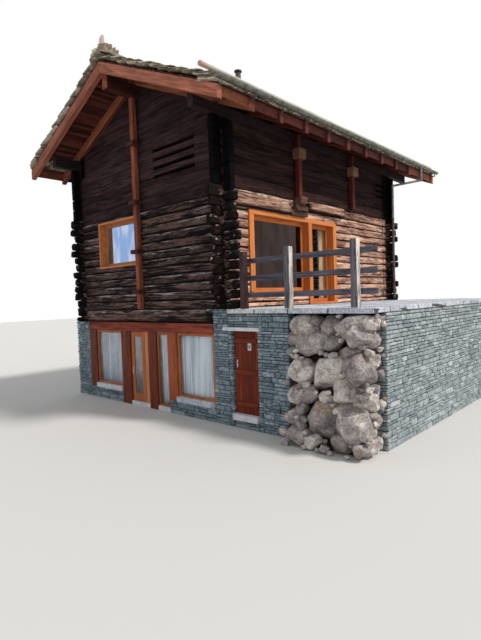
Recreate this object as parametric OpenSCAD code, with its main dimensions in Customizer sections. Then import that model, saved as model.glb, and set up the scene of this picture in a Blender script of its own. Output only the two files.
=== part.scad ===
// Alpine log chalet on a stone ground storey, with a stone terrace along its right side
// X runs across the gable, Y from the front gable to the back, Z up, in millimetres
// The origin lies on the underside of the ground floor, under the middle of the log house

/* [House] */
// Width over the log walls
house_w = 6610; // [5500:10:8000]
// Length over the log walls
house_l = 8600; // [7200:10:10400]
// Room left between two pieces that seat on each other
seat = 0.3; // [0.2:0.1:0.8]

/* [Stone storey] */
// Height of the stone storey, up to the sill logs
stone_h = 2440; // [2300:10:2950]
// Thickness of the outer stone walls
stone_t = 600; // [450:10:700]
// Thickness of the stone wall between the house and the cellar
party_t = 450; // [350:10:550]
// How far the left stone wall stands out beyond the logs
stone_out = 545; // [400:5:700]
// Width of the front face of the left stone pier
left_pier_w = 830; // [650:10:900]
// Width of the front face of the right stone pier
right_pier_w = 505; // [450:5:600]
// Depth of the two front piers
pier_d = 600; // [450:10:900]
// Thickness of the ground floor slab
floor_t = 120; // [80:10:200]
// Thickness of the floor between the storeys
upper_floor_t = 200; // [120:10:260]

/* [Front glazing] */
// Height of the lintel beam over the glazing
lintel_h = 260; // [200:10:320]
// Depth of the lintel beam and of the posts
post_d = 250; // [180:10:300]
// Width of the post beside the left window
post_1_w = 400; // [250:10:500]
// Width of the post between the left window and the front door
post_2_w = 450; // [250:10:500]
// Width of the set-back post that the front door hangs on
door_post_w = 210; // [120:10:300]
// Width of the post between that one and the fixed light
post_3_w = 370; // [250:10:500]
// Width of the post beside the right window
post_4_w = 360; // [250:10:500]
// Clear width of the left window
left_window_w = 1420; // [1100:10:1700]
// Clear width of the front door
door_w = 680; // [640:10:900]
// Clear width of the fixed light beside the door
side_light_w = 520; // [400:10:700]
// Height of the plinths under the two windows
plinth_h = 350; // [200:10:500]
// Thickness of the stone sills
sill_t = 140; // [80:10:180]
// How far sills and lintel slabs stand out of the wall
sill_lip = 60; // [20:5:100]
// Face width of the window frames in the front
frame_w = 65; // [50:5:120]
// Depth of a window frame
frame_d = 70; // [50:5:90]
// Thickness of a door leaf
leaf_t = 60; // [40:5:80]
// Width of the stiles and the top rail of the front door
stile_w = 150; // [80:5:180]
// Height of the bottom rail of the front door
kick_h = 240; // [100:10:400]
// Height of the front door's handle above the floor
handle_h = 900; // [800:10:1200]
// Distance of the outer hinges from a leaf's ends
hinge_in = 180; // [120:10:300]
// Thickness of the glass panes
glass_t = 24; // [16:2:36]
// How far the frames stand back behind the front of the posts
frame_back = 40; // [20:5:120]
// Running gap around a door leaf
leaf_gap = 10; // [8:1:15]
// Distance from the glass to the curtains
curtain_gap = 60; // [40:5:120]
// Depth of a curtain's folds
curtain_d = 60; // [40:5:90]
// Thickness of a curtain rail
rail_d = 25; // [15:1:40]

/* [Log walls] */
// Thickness of the lower log walls
log_t = 190; // [150:5:240]
// Height of the thick sill logs
sill_log_h = 360; // [280:10:440]
// Height of one log
log_h = 230; // [190:5:275]
// Number of log courses above the sill logs
log_courses = 12; // [12:1:12]
// Radius of the rounded log faces
log_r = 210; // [200:5:300]
// Shortest log end past a corner
end_min = 240; // [150:10:300]
// Longest log end past a corner
end_max = 450; // [300:10:520]

/* [Plank walls] */
// Thickness of the hewn upper planks
plank_t = 150; // [110:5:180]
// Height of one plank
plank_h = 320; // [260:5:380]
// Plank end past a corner
plank_end = 250; // [150:10:300]
// How far the planks stand back behind the log faces
plank_back = 25; // [10:5:60]
// Number of plank courses in the side walls
plank_rows = 5; // [4:1:5]
// Height of the wall plates on the plank walls
plate_h = 240; // [180:10:300]
// How far the gable triangle stands back behind the planks below it
gable_step = 35; // [10:5:60]

/* [Openings in the logs] */
// Left edge of the gable window, from the ridge line
gable_window_x = -2160; // [-2400:10:-2000]
// Width of the gable window
gable_window_w = 1960; // [1600:10:2000]
// Height of the gable window's sill above the sill logs
gable_window_up = 1300; // [1000:10:1340]
// Height of the gable window
gable_window_h = 1390; // [1200:10:1450]
// Distance from the front corner to the terrace window
terrace_window_y = 880; // [800:10:1300]
// Width of the terrace window's big pane
pane_w = 2560; // [2000:10:2700]
// Width of the mullion between pane and door part
mullion_w = 170; // [120:10:260]
// Width of the terrace door part
terrace_door_w = 1320; // [1000:10:1350]
// Height of the terrace window
terrace_window_h = 2450; // [2200:10:2480]
// Number of log courses under the big pane
pane_courses = 2; // [1:1:3]
// Thickness of the board under the big pane
pane_sill_t = 50; // [30:5:70]
// Face width of the terrace window's side posts
terrace_post_w = 170; // [90:5:200]
// Height of the terrace window's head beam
terrace_head_h = 110; // [60:5:160]
// Depth of the linings of the log storey's windows
lining_d = 280; // [220:10:300]
// Face width of the sashes in the log storey's windows
sash_w = 100; // [60:5:120]
// Thickness of the gable window's board lining
lining_t = 45; // [30:5:60]
// Left edge of the gable vents
vent_x = 665; // [600:5:900]
// Width of the gable vents
vent_w = 1690; // [1200:10:1700]
// Height of one vent slot
vent_h = 100; // [50:5:120]
// Height of the lowest vent slot above the logs
vent_up = 780; // [600:10:860]
// Rise from one vent slot to the next
vent_pitch = 230; // [200:5:240]
// Length of the three slots near the back end of the right plank wall
slot_w = 620; // [400:10:800]
// Distance of these slots from the back wall's inner face
slot_in = 40; // [20:10:200]
// Height of one of these slots
slot_h = 80; // [50:5:90]
// Height of the lowest of these slots above the logs
slot_up = 890; // [600:10:960]
// Rise from one of these slots to the next
slot_pitch = 190; // [160:5:220]

/* [Window hood] */
// How far the logs over the terrace window stand out of the wall
cover_d = 130; // [90:10:150]
// Height of the front cover log
cover_1_h = 340; // [260:10:360]
// Height of the back cover log
cover_2_h = 280; // [220:10:320]
// Length of the back cover log
cover_2_l = 2020; // [1500:10:2500]
// Height of the back cover log's foot above the front one's
cover_rise = 200; // [120:10:260]
// Width of the stepped corbel between the cover logs
corbel_w = 780; // [700:10:900]
// Height of the stepped corbel
corbel_h = 530; // [460:10:560]

/* [Binders] */
// Width of a binder post
binder_w = 150; // [100:10:180]
// Depth of a binder post
binder_d = 140; // [100:10:180]
// Distance of the gable binders from the ridge line
gable_binder_x = 20; // [0:5:200]
// Height of the gable binders' feet above the sill logs
gable_binder_up = 30; // [0:10:200]
// Distance of the first side binder from the front corner
side_binder_1 = 2970; // [2500:10:3300]
// Distance of the second side binder from the front corner
side_binder_2 = 5900; // [5200:10:6200]
// Length of a clamp across a binder
clamp_w = 330; // [280:10:400]
// Height of a clamp
clamp_h = 110; // [80:5:140]
// Depth of a clamp in front of its binder
clamp_d = 90; // [60:5:120]
// Height of the first gable clamp above the sill logs
clamp_1_up = 460; // [200:5:700]
// Height of the second gable clamp above the sill logs
clamp_2_up = 1585; // [1200:5:1800]
// Height of the third gable clamp above the logs
clamp_3_up = 185; // [100:5:500]
// Distance of the fourth gable clamp below the rafters
clamp_4_down = 195; // [160:5:500]
// Height of a side clamp
side_clamp_h = 280; // [100:10:320]
// Distance of the side clamps' feet below the rafters
side_clamp_down = 730; // [500:5:900]

/* [Roof] */
// Slope of the roof in degrees
roof_pitch = 24.4; // [20:0.1:28]
// Vertical depth of a rafter
rafter_h = 280; // [200:10:320]
// Width of a rafter
rafter_w = 140; // [100:10:180]
// Number of rafters on each slope
rafter_count = 12; // [10:1:14]
// Overhang of the eaves beyond the walls
eave_out = 990; // [700:10:1100]
// Overhang of the rafters beyond the front gable
front_out = 1070; // [700:10:1200]
// Overhang of the rafters beyond the back gable
back_out = 1800; // [900:10:1900]
// Width of the ridge purlin
ridge_w = 240; // [180:10:300]
// Height of the ridge purlin
ridge_h = 380; // [280:10:420]
// Thickness of the roof boards
board_t = 40; // [25:5:50]
// Thickness of one layer of stone slabs
slab_t = 60; // [40:5:70]
// Height of a slab's lower edge above the roof boards
slab_nose = 190; // [150:5:220]
// Number of slab courses on each slope
slab_courses = 11; // [8:1:14]
// Overhang of the stone covering past the barge rafters
slab_out = 100; // [40:10:160]
// Thickness of the ridge slabs
ridge_slab_t = 110; // [70:5:140]

/* [Roof fittings] */
// Outer radius of the gutter
gutter_r = 75; // [60:5:90]
// Wall of the gutter and the downpipe
sheet_t = 6; // [4:1:8]
// Height of the gutter's rim above the rafter tops
gutter_up = 140; // [100:10:160]
// Radius of the downpipe
pipe_r = 42; // [35:1:50]
// Distance of the gutter's outlet from the rafter behind it
pipe_in = 230; // [180:10:400]
// Radius of the snow pole
pole_r = 60; // [40:5:70]
// Distance from the eave to the snow pole
pole_in = 150; // [120:10:300]
// How far the snow pole reaches past the front of the covering
pole_out = 240; // [0:10:320]
// Radius of the flue
flue_r = 75; // [60:5:100]
// Distance of the flue from the ridge line
flue_x = 2210; // [1800:10:2400]
// Distance of the flue from the front gable
flue_y = 1890; // [1850:10:1930]
// Height of the flue above the covering
flue_h = 840; // [400:10:900]

/* [Terrace] */
// Width of the terrace
terrace_w = 3795; // [3000:10:4200]
// Thickness of the terrace slab
terrace_t = 120; // [80:10:160]
// Thickness of the cellar and retaining walls
retain_t = 450; // [350:10:550]
// Width of the masonry front of the cellar
cellar_w = 1805; // [1700:10:2100]
// Depth of the cellar room
cellar_d = 2500; // [1600:10:2900]
// Distance from the house wall to the cellar doorway
cellar_door_in = 135; // [100:5:200]
// Clear width of the cellar door
cellar_door_w = 770; // [700:10:900]
// Height of the cellar door's threshold
threshold_h = 330; // [200:10:400]
// Clear height of the cellar door
cellar_door_h = 1960; // [1800:10:2000]
// Distance from the wall's face to the cellar door
cellar_recess = 80; // [50:10:320]
// How far the foot of the boulder wall reaches out
batter = 480; // [200:10:600]

/* [Fence] */
// Side of a fence post
fence_post = 150; // [100:10:180]
// Distance from the wall to the middle of the second fence post
fence_post_2 = 1815; // [1400:5:2100]
// Distance from the wall to the middle of the third fence post
fence_post_3 = 3385; // [2800:5:3600]
// Height of the fence posts
fence_h = 1300; // [1000:10:1400]
// Thickness of a fence rail
rail_t = 45; // [30:5:60]
// Height of a fence rail
rail_h = 120; // [90:5:150]
// Height of the lowest fence rail above the terrace
rail_z = 240; // [150:10:350]
// Rise from one rail to the next
rail_pitch = 390; // [300:10:420]

/* [Hidden] */

$fn = 64;
slack = seat / 2;
hw = house_w / 2;
hl = house_l / 2;
slope = tan(roof_pitch);
left_x = -hw - stone_out;
pier_l = left_x + left_pier_w;
pier_r = hw - right_pier_w;
terrace_z = stone_h + sill_log_h;

// Clear openings of the front, from the left pier to the right one
post_1 = [pier_l, pier_l + post_1_w];
post_2 = [post_1[1] + left_window_w, post_1[1] + left_window_w + post_2_w];
door_post = [post_2[1] + door_w, post_2[1] + door_w + door_post_w];
post_3 = [door_post[1], door_post[1] + post_3_w];
post_4 = [post_3[1] + side_light_w, post_3[1] + side_light_w + post_4_w];
head_z = stone_h - lintel_h;
frame_y = -hl + frame_back;
curtain_y = frame_y + frame_d + curtain_gap;

// Levels of the courses: front and back walls first, side walls half a course up
log_top = terrace_z + log_courses * log_h;
plate_z = log_top + (plank_rows + 0.5) * plank_h;
eave_z = plate_z + plate_h;
ridge_under = eave_z + slope * hw;
plank_courses = ceil((ridge_under - log_top) / plank_h);
front_z = concat([stone_h], [for (i = [0 : log_courses]) terrace_z + i * log_h],
    [for (i = [1 : plank_courses]) log_top + i * plank_h]);
side_courses = log_courses + plank_rows + 1;
side_z = concat([stone_h], [for (i = [0 : side_courses]) (front_z[i] + front_z[i + 1]) / 2]);
ends = rands(end_min, end_max, 80, 11);

// Rafters and roof surfaces, as heights over a distance from the ridge line
eave_x = hw + eave_out;
roof_front = -hl - front_out;
roof_back = hl + back_out;
rafter_top = ridge_under + rafter_h;
board_v = board_t / cos(roof_pitch);
slab_under = rafter_top + board_v + seat;
slab_lip = 15;
cover_x = eave_x + slab_lip;
run = cover_x / slab_courses;
rafter_pitch = (roof_back - roof_front - rafter_w) / (rafter_count - 1);
function under(x) = ridge_under - slope * abs(x);
function on_slabs(x) = slab_under - slope * abs(x) + slab_nose;

// Terrace and cellar
terrace_x = hw + terrace_w;
cellar_x = hw + cellar_w;
doorway = [hw + cellar_door_in, hw + cellar_door_in + cellar_door_w];
wall_top = terrace_z - terrace_t;
door_top = threshold_h + cellar_door_h;
cellar_lintel_t = 80;

stone = [0.43, 0.47, 0.45];
pale_stone = [0.70, 0.69, 0.66];
slate = [0.47, 0.44, 0.38];
old_log = [0.30, 0.22, 0.17];
dark_plank = [0.22, 0.16, 0.14];
larch = [0.46, 0.22, 0.12];
new_larch = [0.72, 0.42, 0.20];
grey_wood = [0.36, 0.34, 0.33];
zinc = [0.55, 0.56, 0.57];
white_cloth = [0.88, 0.88, 0.86];
pane = [0.60, 0.70, 0.75, 0.5];

// Shared shapes

// A box given by its two corners
module block(low, high) {
    translate(low) cube(high - low);
}

// A wall laid out along X, with its outer face at y = 0, stood on one side of the house
module on_front() { translate([0, -hl, 0]) children(); }
module on_back() { mirror([0, 1, 0]) on_front() children(); }
module on_right() { translate([hw, 0, 0]) rotate([0, 0, 90]) children(); }
module on_left() { mirror([1, 0, 0]) on_right() children(); }

// Section of a hewn log, rounded on its outer and inner faces
module log_section(thick, high) {
    intersection() {
        square([thick, high]);
        translate([log_r, high / 2]) circle(log_r);
        translate([thick - log_r, high / 2]) circle(log_r);
    }
}

// One timber from a to b, notched where the other walls' timbers cross it at -cross and cross
module timber(z, a, b, thick, back, cross, lap, round_face) {
    high = z[1] - z[0] - seat;
    difference() {
        translate([a, back, z[0] + slack]) rotate([90, 0, 90]) linear_extrude(b - a)
            if (round_face) log_section(thick, high);
            else square([thick, high]);
        for (side = [-1, 1]) {
            x0 = side < 0 ? -cross - slack : cross - log_t - slack;
            x1 = x0 + log_t + seat;
            block([x0, -1, z[0] - 1], [x1, log_t + 1, z[0] + lap[0] + slack]);
            block([x0, -1, z[1] - lap[1] - slack], [x1, log_t + 1, z[1] + 1]);
        }
    }
}

// Laps of a front timber: a quarter of its height, below and above
function front_lap(i) = (front_z[i + 1] - front_z[i]) / 4 * [1, 1];
// Laps of a side timber: a quarter of the front timbers that it lies between
function side_lap(i) = [i == 0 ? 0 : front_lap(i - 1)[1], front_lap(i)[0]];

// Log courses of a gable wall, on the stone at the left and on the pier at the right
module gable_logs(seed) {
    for (i = [0 : log_courses]) {
        left = -hw - ends[(seed + i * 7) % 80];
        right = i == 0 ? pier_r - seat : hw + ends[(seed + i * 5 + 3) % 80];
        timber([front_z[i], front_z[i + 1]], left, right, log_t, 0, hw, front_lap(i), true);
    }
}

// Log courses of a side wall, from the course whose foot is at or above low
module side_logs(first, seed) {
    for (i = [first : log_courses + 1]) {
        low = max(side_z[i], first > 0 ? terrace_z : stone_h);
        back_end = hl + ends[(seed + i * 3) % 80];
        front_end = -hl - ends[(seed + i * 11 + 5) % 80];
        timber([low, side_z[i + 1]], front_end, back_end, log_t, 0, hl, side_lap(i), true);
    }
}

// Hewn plank courses of a gable wall, cut to the slope of the roof; those of the triangle
// above the wall plates stand back and leave a narrow ledge
module gable_planks() {
    inner = hw - log_t - seat;
    knee = under(inner) - seat;
    top = ridge_under - seat;
    function half(z) = min(inner, (top - z) / slope);
    for (i = [log_courses + 1 : len(front_z) - 2]) {
        z = [front_z[i], front_z[i + 1]];
        low = z[0] + slack;
        high = min(z[1] - slack, top - 20);
        corner = knee > low && knee < high ? [[inner, knee]] : [];
        right = concat([[half(low), low]], corner, [[half(high), high]]);
        left = [for (j = [len(right) - 1 : -1 : 0]) [-right[j][0], right[j][1]]];
        back = plank_back + (z[0] > eave_z ? gable_step : 0);
        if (z[1] < plate_z)
            timber(z, -hw - plank_end, hw + plank_end, plank_t, plank_back, hw, front_lap(i), false);
        else difference() {
            translate([0, back + plank_t, 0]) rotate([90, 0, 0]) linear_extrude(plank_t)
                polygon(concat(right, left));
            block([-ridge_w / 2 - seat, -1, ridge_under - ridge_h - seat],
                [ridge_w / 2 + seat, back + plank_t + 1, ridge_under + 1]);
        }
    }
}

// Hewn plank courses of a side wall, up to the wall plate
module side_planks() {
    for (i = [log_courses + 2 : side_courses]) {
        z = [side_z[i], side_z[i + 1]];
        top = z[1] > plate_z - 1 ? [front_lap(i - 1)[1], 0] : side_lap(i);
        timber(z, -hl - plank_end, hl + plank_end, plank_t, plank_back, hl, top, false);
    }
}

// A rectangular frame that stands on its bottom rail, front face at y = 0
module frame(w, h, depth, face, foot) {
    translate([0, depth, 0]) rotate([90, 0, 0]) linear_extrude(depth) difference() {
        square([w, h]);
        translate([face, foot]) square([w - 2 * face, h - face - foot]);
    }
}

// The pane of such a frame
module glazing(w, h, depth, face, foot) {
    block([face + seat, (depth - glass_t) / 2, foot + seat],
        [w - face - seat, (depth + glass_t) / 2, h - face - seat]);
}

// A curtain in soft folds, hung from z = 0 to h
module curtain(w, h, folds) {
    steps = folds * 6;
    front = [for (i = [0 : steps]) [i * w / steps, curtain_d / 3 * (1 - cos(i * 60))]];
    back = [for (i = [steps : -1 : 0]) front[i] + [0, curtain_d / 3]];
    linear_extrude(h) polygon(concat(front, back));
}

// Stone storey

module ground_floor() {
    color(pale_stone) difference() {
        block([left_x + stone_t + seat, -hl, 0], [hw - party_t - seat, hl - stone_t - seat, floor_t]);
        block([left_x, -hl - 1, -1], [pier_l + seat, -hl + pier_d + seat, floor_t + 1]);
        block([pier_r - seat, -hl - 1, -1], [hw, -hl + pier_d + seat, floor_t + 1]);
        for (span = [[pier_l, post_2[1]], [post_3[0], pier_r]])
            block([span[0] - seat, -hl - 1, -1], [span[1] + seat, -hl + post_d + seat, floor_t + 1]);
        block([door_post[0] - seat, frame_y - seat, -1], [post_3[0], -hl + post_d + seat, floor_t + 1]);
    }
}

module left_stone_wall() {
    color(stone) block([left_x, -hl + pier_d + seat, 0], [left_x + stone_t, hl - stone_t - seat, stone_h]);
}

module back_stone_wall() {
    color(stone) {
        block([left_x, hl - stone_t, 0], [hw, hl, stone_h]);
        block([pier_r, hl - log_t, stone_h + seat], [hw, hl, terrace_z]);
    }
}

module right_stone_wall() {
    color(stone) {
        block([hw - party_t, -hl + pier_d + seat, 0], [hw, hl - stone_t - seat, stone_h]);
        block([hw - log_t, -hl + log_t + seat, stone_h + seat], [hw, hl - log_t - seat, terrace_z]);
    }
}

module front_piers() {
    color(stone) {
        block([left_x, -hl, 0], [pier_l, -hl + pier_d, stone_h]);
        block([pier_r, -hl, 0], [hw, -hl + pier_d, stone_h]);
        block([pier_r, -hl, stone_h + seat], [hw, -hl + log_t, terrace_z]);
    }
}

module plinths() {
    color(stone) {
        block([post_1[0] + seat, -hl, 0], [post_2[0] - seat, -hl + post_d, plinth_h]);
        block([post_4[0] + seat, -hl, 0], [pier_r - seat, -hl + post_d, plinth_h]);
    }
}

// Sills of the two windows and of the fixed light, and the cellar door's threshold
module sills() {
    top = plinth_h + sill_t;
    color(pale_stone) {
        block([post_1[1] + seat, -hl - sill_lip, plinth_h + seat], [post_2[0] - seat, -hl + post_d, top]);
        block([post_4[1] + seat, -hl - sill_lip, plinth_h + seat], [pier_r - seat, -hl + post_d, top]);
        block([post_3[1] + seat, -hl, 0], [post_4[0] - seat, -hl + post_d, floor_t + leaf_gap]);
        block([doorway[0] + seat, -hl - sill_lip, threshold_h - sill_t],
            [doorway[1] - seat, -hl + retain_t, threshold_h]);
    }
}

module lintel_beam() {
    color(larch) block([pier_l + seat, -hl, head_z], [pier_r - seat, -hl + post_d, stone_h - seat]);
}

module front_posts() {
    color(larch) {
        for (post = [post_1, post_4])
            block([post[0] + seat, -hl, plinth_h + seat], [post[1], -hl + post_d, head_z - seat]);
        for (post = [post_2, post_3])
            block([post[0], -hl, 0], [post[1], -hl + post_d, head_z - seat]);
        block([door_post[0], frame_y, 0], [door_post[1] - seat, -hl + post_d, head_z - seat]);
    }
}

// Left corner, width and foot of each fixed frame in the front
function front_frames() = [
    [post_1[1], post_2[0] - post_1[1], plinth_h + sill_t],
    [post_3[1], post_4[0] - post_3[1], floor_t + leaf_gap],
    [post_4[1], pier_r - post_4[1], plinth_h + sill_t]];

module front_window_frames() {
    color(new_larch) for (f = front_frames())
        translate([f[0] + seat, frame_y, f[2] + seat])
            frame(f[1] - 2 * seat, head_z - f[2] - 2 * seat, frame_d, frame_w, frame_w);
}

// Panes of the front frames, the gable window and the terrace window
module window_glass() {
    sash = gable_window_w - 2 * lining_t;
    color(pane) {
        for (f = front_frames())
            translate([f[0] + seat, frame_y, f[2] + seat])
                glazing(f[1] - 2 * seat, head_z - f[2] - 2 * seat, frame_d, frame_w, frame_w);
        on_front() translate([gable_window_x + lining_t, sash_y, gable_window_z + lining_t])
            glazing(sash, gable_window_h - 2 * lining_t, frame_d, sash_w + seat, sash_w + seat);
        on_right() for (light = terrace_lights)
            translate([light[0] + seat, lining_back - frame_d, light[2] + seat])
                glazing(light[1] - 2 * seat, light_head - light[2] - 2 * seat, frame_d,
                    sash_w, sash_w);
    }
}

// Curtains behind the front frames and behind the terrace window's door part
module curtains() {
    rise = 30;
    light = terrace_lights[1];
    color(white_cloth) {
        for (f = front_frames())
            translate([f[0] + 20, curtain_y, f[2] + rise])
                curtain(f[1] - 40, head_z - f[2] - rise - rail_d - 2 * seat, round(f[1] / 120));
        on_right() translate([light[0] + light[1] * 0.68, terrace_curtain_y, light[2] + rise])
            curtain(light[1] * 0.36, terrace_rail_z - light[2] - rise - seat, 4);
    }
}

// Curtain rails, under the lintel beam and on the inner face of the terrace window's head
module curtain_rails() {
    low = head_z - rail_d - seat;
    light = terrace_lights[1];
    color(new_larch) {
        for (f = front_frames())
            block([f[0] + 15, curtain_y, low], [f[0] + f[1] - 15, curtain_y + curtain_d, head_z - seat]);
        on_right() block([light[0] + 15, lining_back + seat, terrace_rail_z],
            [window_b - 15, terrace_curtain_y + curtain_d, terrace_rail_z + rail_d]);
    }
}

// The glazed leaf between its posts, hinged on the right one
leaf_w = door_w - 2 * leaf_gap;
leaf_h = head_z - floor_t - 2 * leaf_gap;

module front_door() {
    color(new_larch) translate([post_2[1] + leaf_gap, frame_y, floor_t + leaf_gap])
        frame(leaf_w, leaf_h, leaf_t, stile_w, kick_h);
}

module front_door_glass() {
    color(pane) translate([post_2[1] + leaf_gap, frame_y, floor_t + leaf_gap])
        glazing(leaf_w, leaf_h, leaf_t, stile_w, kick_h);
}

// Lever handle with its plate on the free stile
module front_door_handle() {
    plate = [40, 8, 220];
    reach = 50;
    lever = 110;
    color(zinc) translate([post_2[1] + leaf_gap + stile_w / 2, frame_y - seat, floor_t + handle_h]) {
        translate([-plate[0] / 2, -plate[1], -plate[2] / 2]) cube(plate);
        rotate([90, 0, 0]) cylinder(h = reach, r = 10);
        translate([0, 5 - reach, 0]) rotate([0, 90, 0]) cylinder(h = lever, r = 9);
    }
}

// Feet of the three hinges of a leaf that reaches from low to top
function hinge_feet(low, top) =
    [low + hinge_in, (low + top - barrel_h) / 2, top - hinge_in - barrel_h];
barrel_h = 100;

// Slim barrels in the gaps beside the two hinged leaves, on the inner side
module door_hinges() {
    r = leaf_gap / 2 - seat;
    front_axis = [door_post[0] - leaf_gap / 2, frame_y + leaf_t + 2];
    cellar_axis = [doorway[1] - leaf_gap / 2, cellar_leaf_y + leaf_t + 2];
    color(zinc) {
        for (z = hinge_feet(floor_t, head_z))
            translate([front_axis[0], front_axis[1], z]) cylinder(h = barrel_h, r = r);
        for (z = hinge_feet(threshold_h, door_top))
            translate([cellar_axis[0], cellar_axis[1], z]) cylinder(h = barrel_h, r = r);
    }
}

// Log walls

module upper_floor() {
    inset = log_t + seat;
    color(old_log) block([-hw + inset, -hl + inset, stone_h + seat],
        [hw - inset, hl - inset, stone_h + upper_floor_t]);
}

module gable_window_hole() {
    block([gable_window_x - seat, -1, gable_window_z - seat],
        [gable_window_x + gable_window_w + seat, log_t + 1, gable_window_z + gable_window_h + seat]);
}

// The hole for the terrace window, with whole log courses left under the big pane
module terrace_window_hole() {
    block([window_a - seat, -1, pane_foot - pane_sill_t],
        [window_b + seat, log_t + 1, window_head + seat]);
    block([window_a + pane_w - seat, -1, terrace_z - 1], [window_b + seat, log_t + 1, window_head]);
}

module front_log_wall() {
    color(old_log) on_front() difference() {
        gable_logs(0);
        gable_window_hole();
    }
}

module back_log_wall() {
    color(old_log) on_back() gable_logs(31);
}

module left_log_wall() {
    color(old_log) on_left() side_logs(0, 17);
}

// Ends of the terrace window along the right wall, its head and the foot of its big pane
window_a = -hl + terrace_window_y;
window_b = window_a + pane_w + mullion_w + terrace_door_w;
window_head = terrace_z + terrace_window_h;
pane_foot = side_z[pane_courses + 1] + pane_sill_t;

module right_log_wall() {
    color(old_log) on_right() difference() {
        side_logs(1, 43);
        terrace_window_hole();
    }
}

module front_plank_wall() {
    color(dark_plank) on_front() difference() {
        gable_planks();
        gable_window_hole();
        for (i = [0 : 3]) {
            z = log_top + vent_up + i * vent_pitch;
            block([vent_x, -1, z], [vent_x + vent_w, log_t + 1, z + vent_h]);
        }
    }
}

module back_plank_wall() {
    color(dark_plank) on_back() gable_planks();
}

module left_plank_wall() {
    color(dark_plank) on_left() side_planks();
}

module right_plank_wall() {
    slot_b = hl - log_t - slot_in;
    color(dark_plank) on_right() difference() {
        side_planks();
        terrace_window_hole();
        for (i = [0 : 2]) {
            z = log_top + slot_up + i * slot_pitch;
            block([slot_b - slot_w, -1, z], [slot_b, log_t + 1, z + slot_h]);
        }
    }
}

// Windows in the logs

// The gable window's lining stands a little out of the logs, its sash is flush with its back
gable_lip = 15;
sash_y = lining_d - gable_lip - frame_d;
gable_window_z = terrace_z + gable_window_up;

module gable_window() {
    inset = lining_t + seat;
    color(new_larch) on_front() {
        translate([gable_window_x, -gable_lip, gable_window_z])
            frame(gable_window_w, gable_window_h, lining_d, lining_t, lining_t);
        translate([gable_window_x + inset, sash_y, gable_window_z + inset])
            frame(gable_window_w - 2 * inset, gable_window_h - 2 * inset, frame_d, sash_w, sash_w);
    }
}

// Left edge, width and foot of each light between the terrace window's posts
threshold_board_h = 60;
terrace_lights = [[window_a + terrace_post_w, pane_w - terrace_post_w, pane_foot],
    [window_a + pane_w + mullion_w, terrace_door_w - terrace_post_w, terrace_z + threshold_board_h]];
light_head = window_head - terrace_head_h;
terrace_lip = 40;
pane_sill_out = 70;
lining_back = lining_d - terrace_lip;
terrace_curtain_y = lining_back + 15;
terrace_rail_z = window_head - 50;

// Three deep posts under a head beam, a sill on the logs and a threshold, and a sash in each light
module terrace_window() {
    mullion_a = window_a + pane_w;
    mullion_b = mullion_a + mullion_w;
    feet = [[window_a + seat, terrace_lights[0][0], pane_foot + seat],
        [mullion_a, mullion_b, terrace_z + seat],
        [window_b - terrace_post_w, window_b - seat, terrace_z + seat]];
    color(new_larch) on_right() {
        for (post = feet)
            block([post[0], -terrace_lip, post[2]], [post[1], lining_back, light_head - seat]);
        block([window_a + seat, -terrace_lip, light_head], [window_b - seat, lining_back, window_head]);
        block([window_a + seat, -pane_sill_out, pane_foot - pane_sill_t + seat],
            [mullion_a - seat, lining_back, pane_foot]);
        block([mullion_b + seat, -terrace_lip, terrace_z + seat],
            [window_b - terrace_post_w - seat, lining_back, terrace_lights[1][2]]);
        for (light = terrace_lights)
            translate([light[0] + seat, lining_back - frame_d, light[2] + seat])
                frame(light[1] - 2 * seat, light_head - light[2] - 2 * seat, frame_d, sash_w, sash_w);
    }
}

// Section of a cover log: a part of a round log, flat where it lies on the wall
module cover_section(high) {
    depth = 0.42 * high;
    intersection() {
        translate([-cover_d, 0]) square([cover_d, high]);
        translate([depth, high / 2]) circle(depth + cover_d);
    }
}

// How far the side wall's face stands back at a height: planks lie behind the logs
function right_face(z) = z > side_z[log_courses + 2] ? plank_back : 0;

// Logs over the terrace window, with the stepped corbel between them that carries a binder
module cover_logs() {
    low = window_head + 10;
    mid = -hl + side_binder_1;
    corbel_a = mid - corbel_w / 2;
    corbel_b = mid + corbel_w / 2;
    step_h = 150;
    step_d = 70;
    step_in = 110;
    pieces = [[-hl + log_t + seat, corbel_a - seat, low, cover_1_h],
        [corbel_b + seat, corbel_b + cover_2_l, low + cover_rise, cover_2_h]];
    color(old_log) on_right() {
        for (piece = pieces)
            translate([piece[0], right_face(piece[2]) - slack, piece[2]]) rotate([90, 0, 90])
                linear_extrude(piece[1] - piece[0]) cover_section(piece[3]);
        for (step = [0 : 2]) {
            deep = 120 + step * step_d;
            high = step == 2 ? corbel_h - 2 * step_h - seat : step_h;
            translate([corbel_a + step * step_in, -slack - deep, low + step * step_h])
                cube([corbel_w - 2 * step * step_in, deep, high]);
        }
    }
}

// Binders

// Places of the side binders along the wall, and the height of the one over the corbel
side_binder_y = [-hl + side_binder_1, -hl + side_binder_2];
side_binder_z = window_head + 10 + corbel_h;

module binder(low, top) {
    translate([-binder_w / 2, -binder_d - slack, low]) cube([binder_w, binder_d, top - low]);
}

// Posts that stiffen the walls: one on each gable, two on each side wall
module binders() {
    side_top = under(hw + binder_d) - seat;
    color(larch) {
        for (back = [0, 1]) mirror([0, back, 0]) on_front() translate([-gable_binder_x, 0, 0])
            binder(terrace_z + gable_binder_up, ridge_under - ridge_h - seat);
        for (y = side_binder_y) {
            on_right() translate([y, 0, 0]) binder(side_binder_z, side_top);
            on_left() translate([y, 0, 0]) binder(terrace_z, side_top);
        }
    }
}

// A yoke around a binder, held by its two cheeks against the wall
module clamp(z, high) {
    deep = binder_d + clamp_d + seat;
    translate([0, 0, z]) linear_extrude(high) difference() {
        translate([-clamp_w / 2, -deep]) square([clamp_w, deep - slack]);
        translate([-binder_w / 2 - seat, -binder_d - seat]) square([binder_w + 2 * seat, binder_d + 1]);
    }
}

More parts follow.
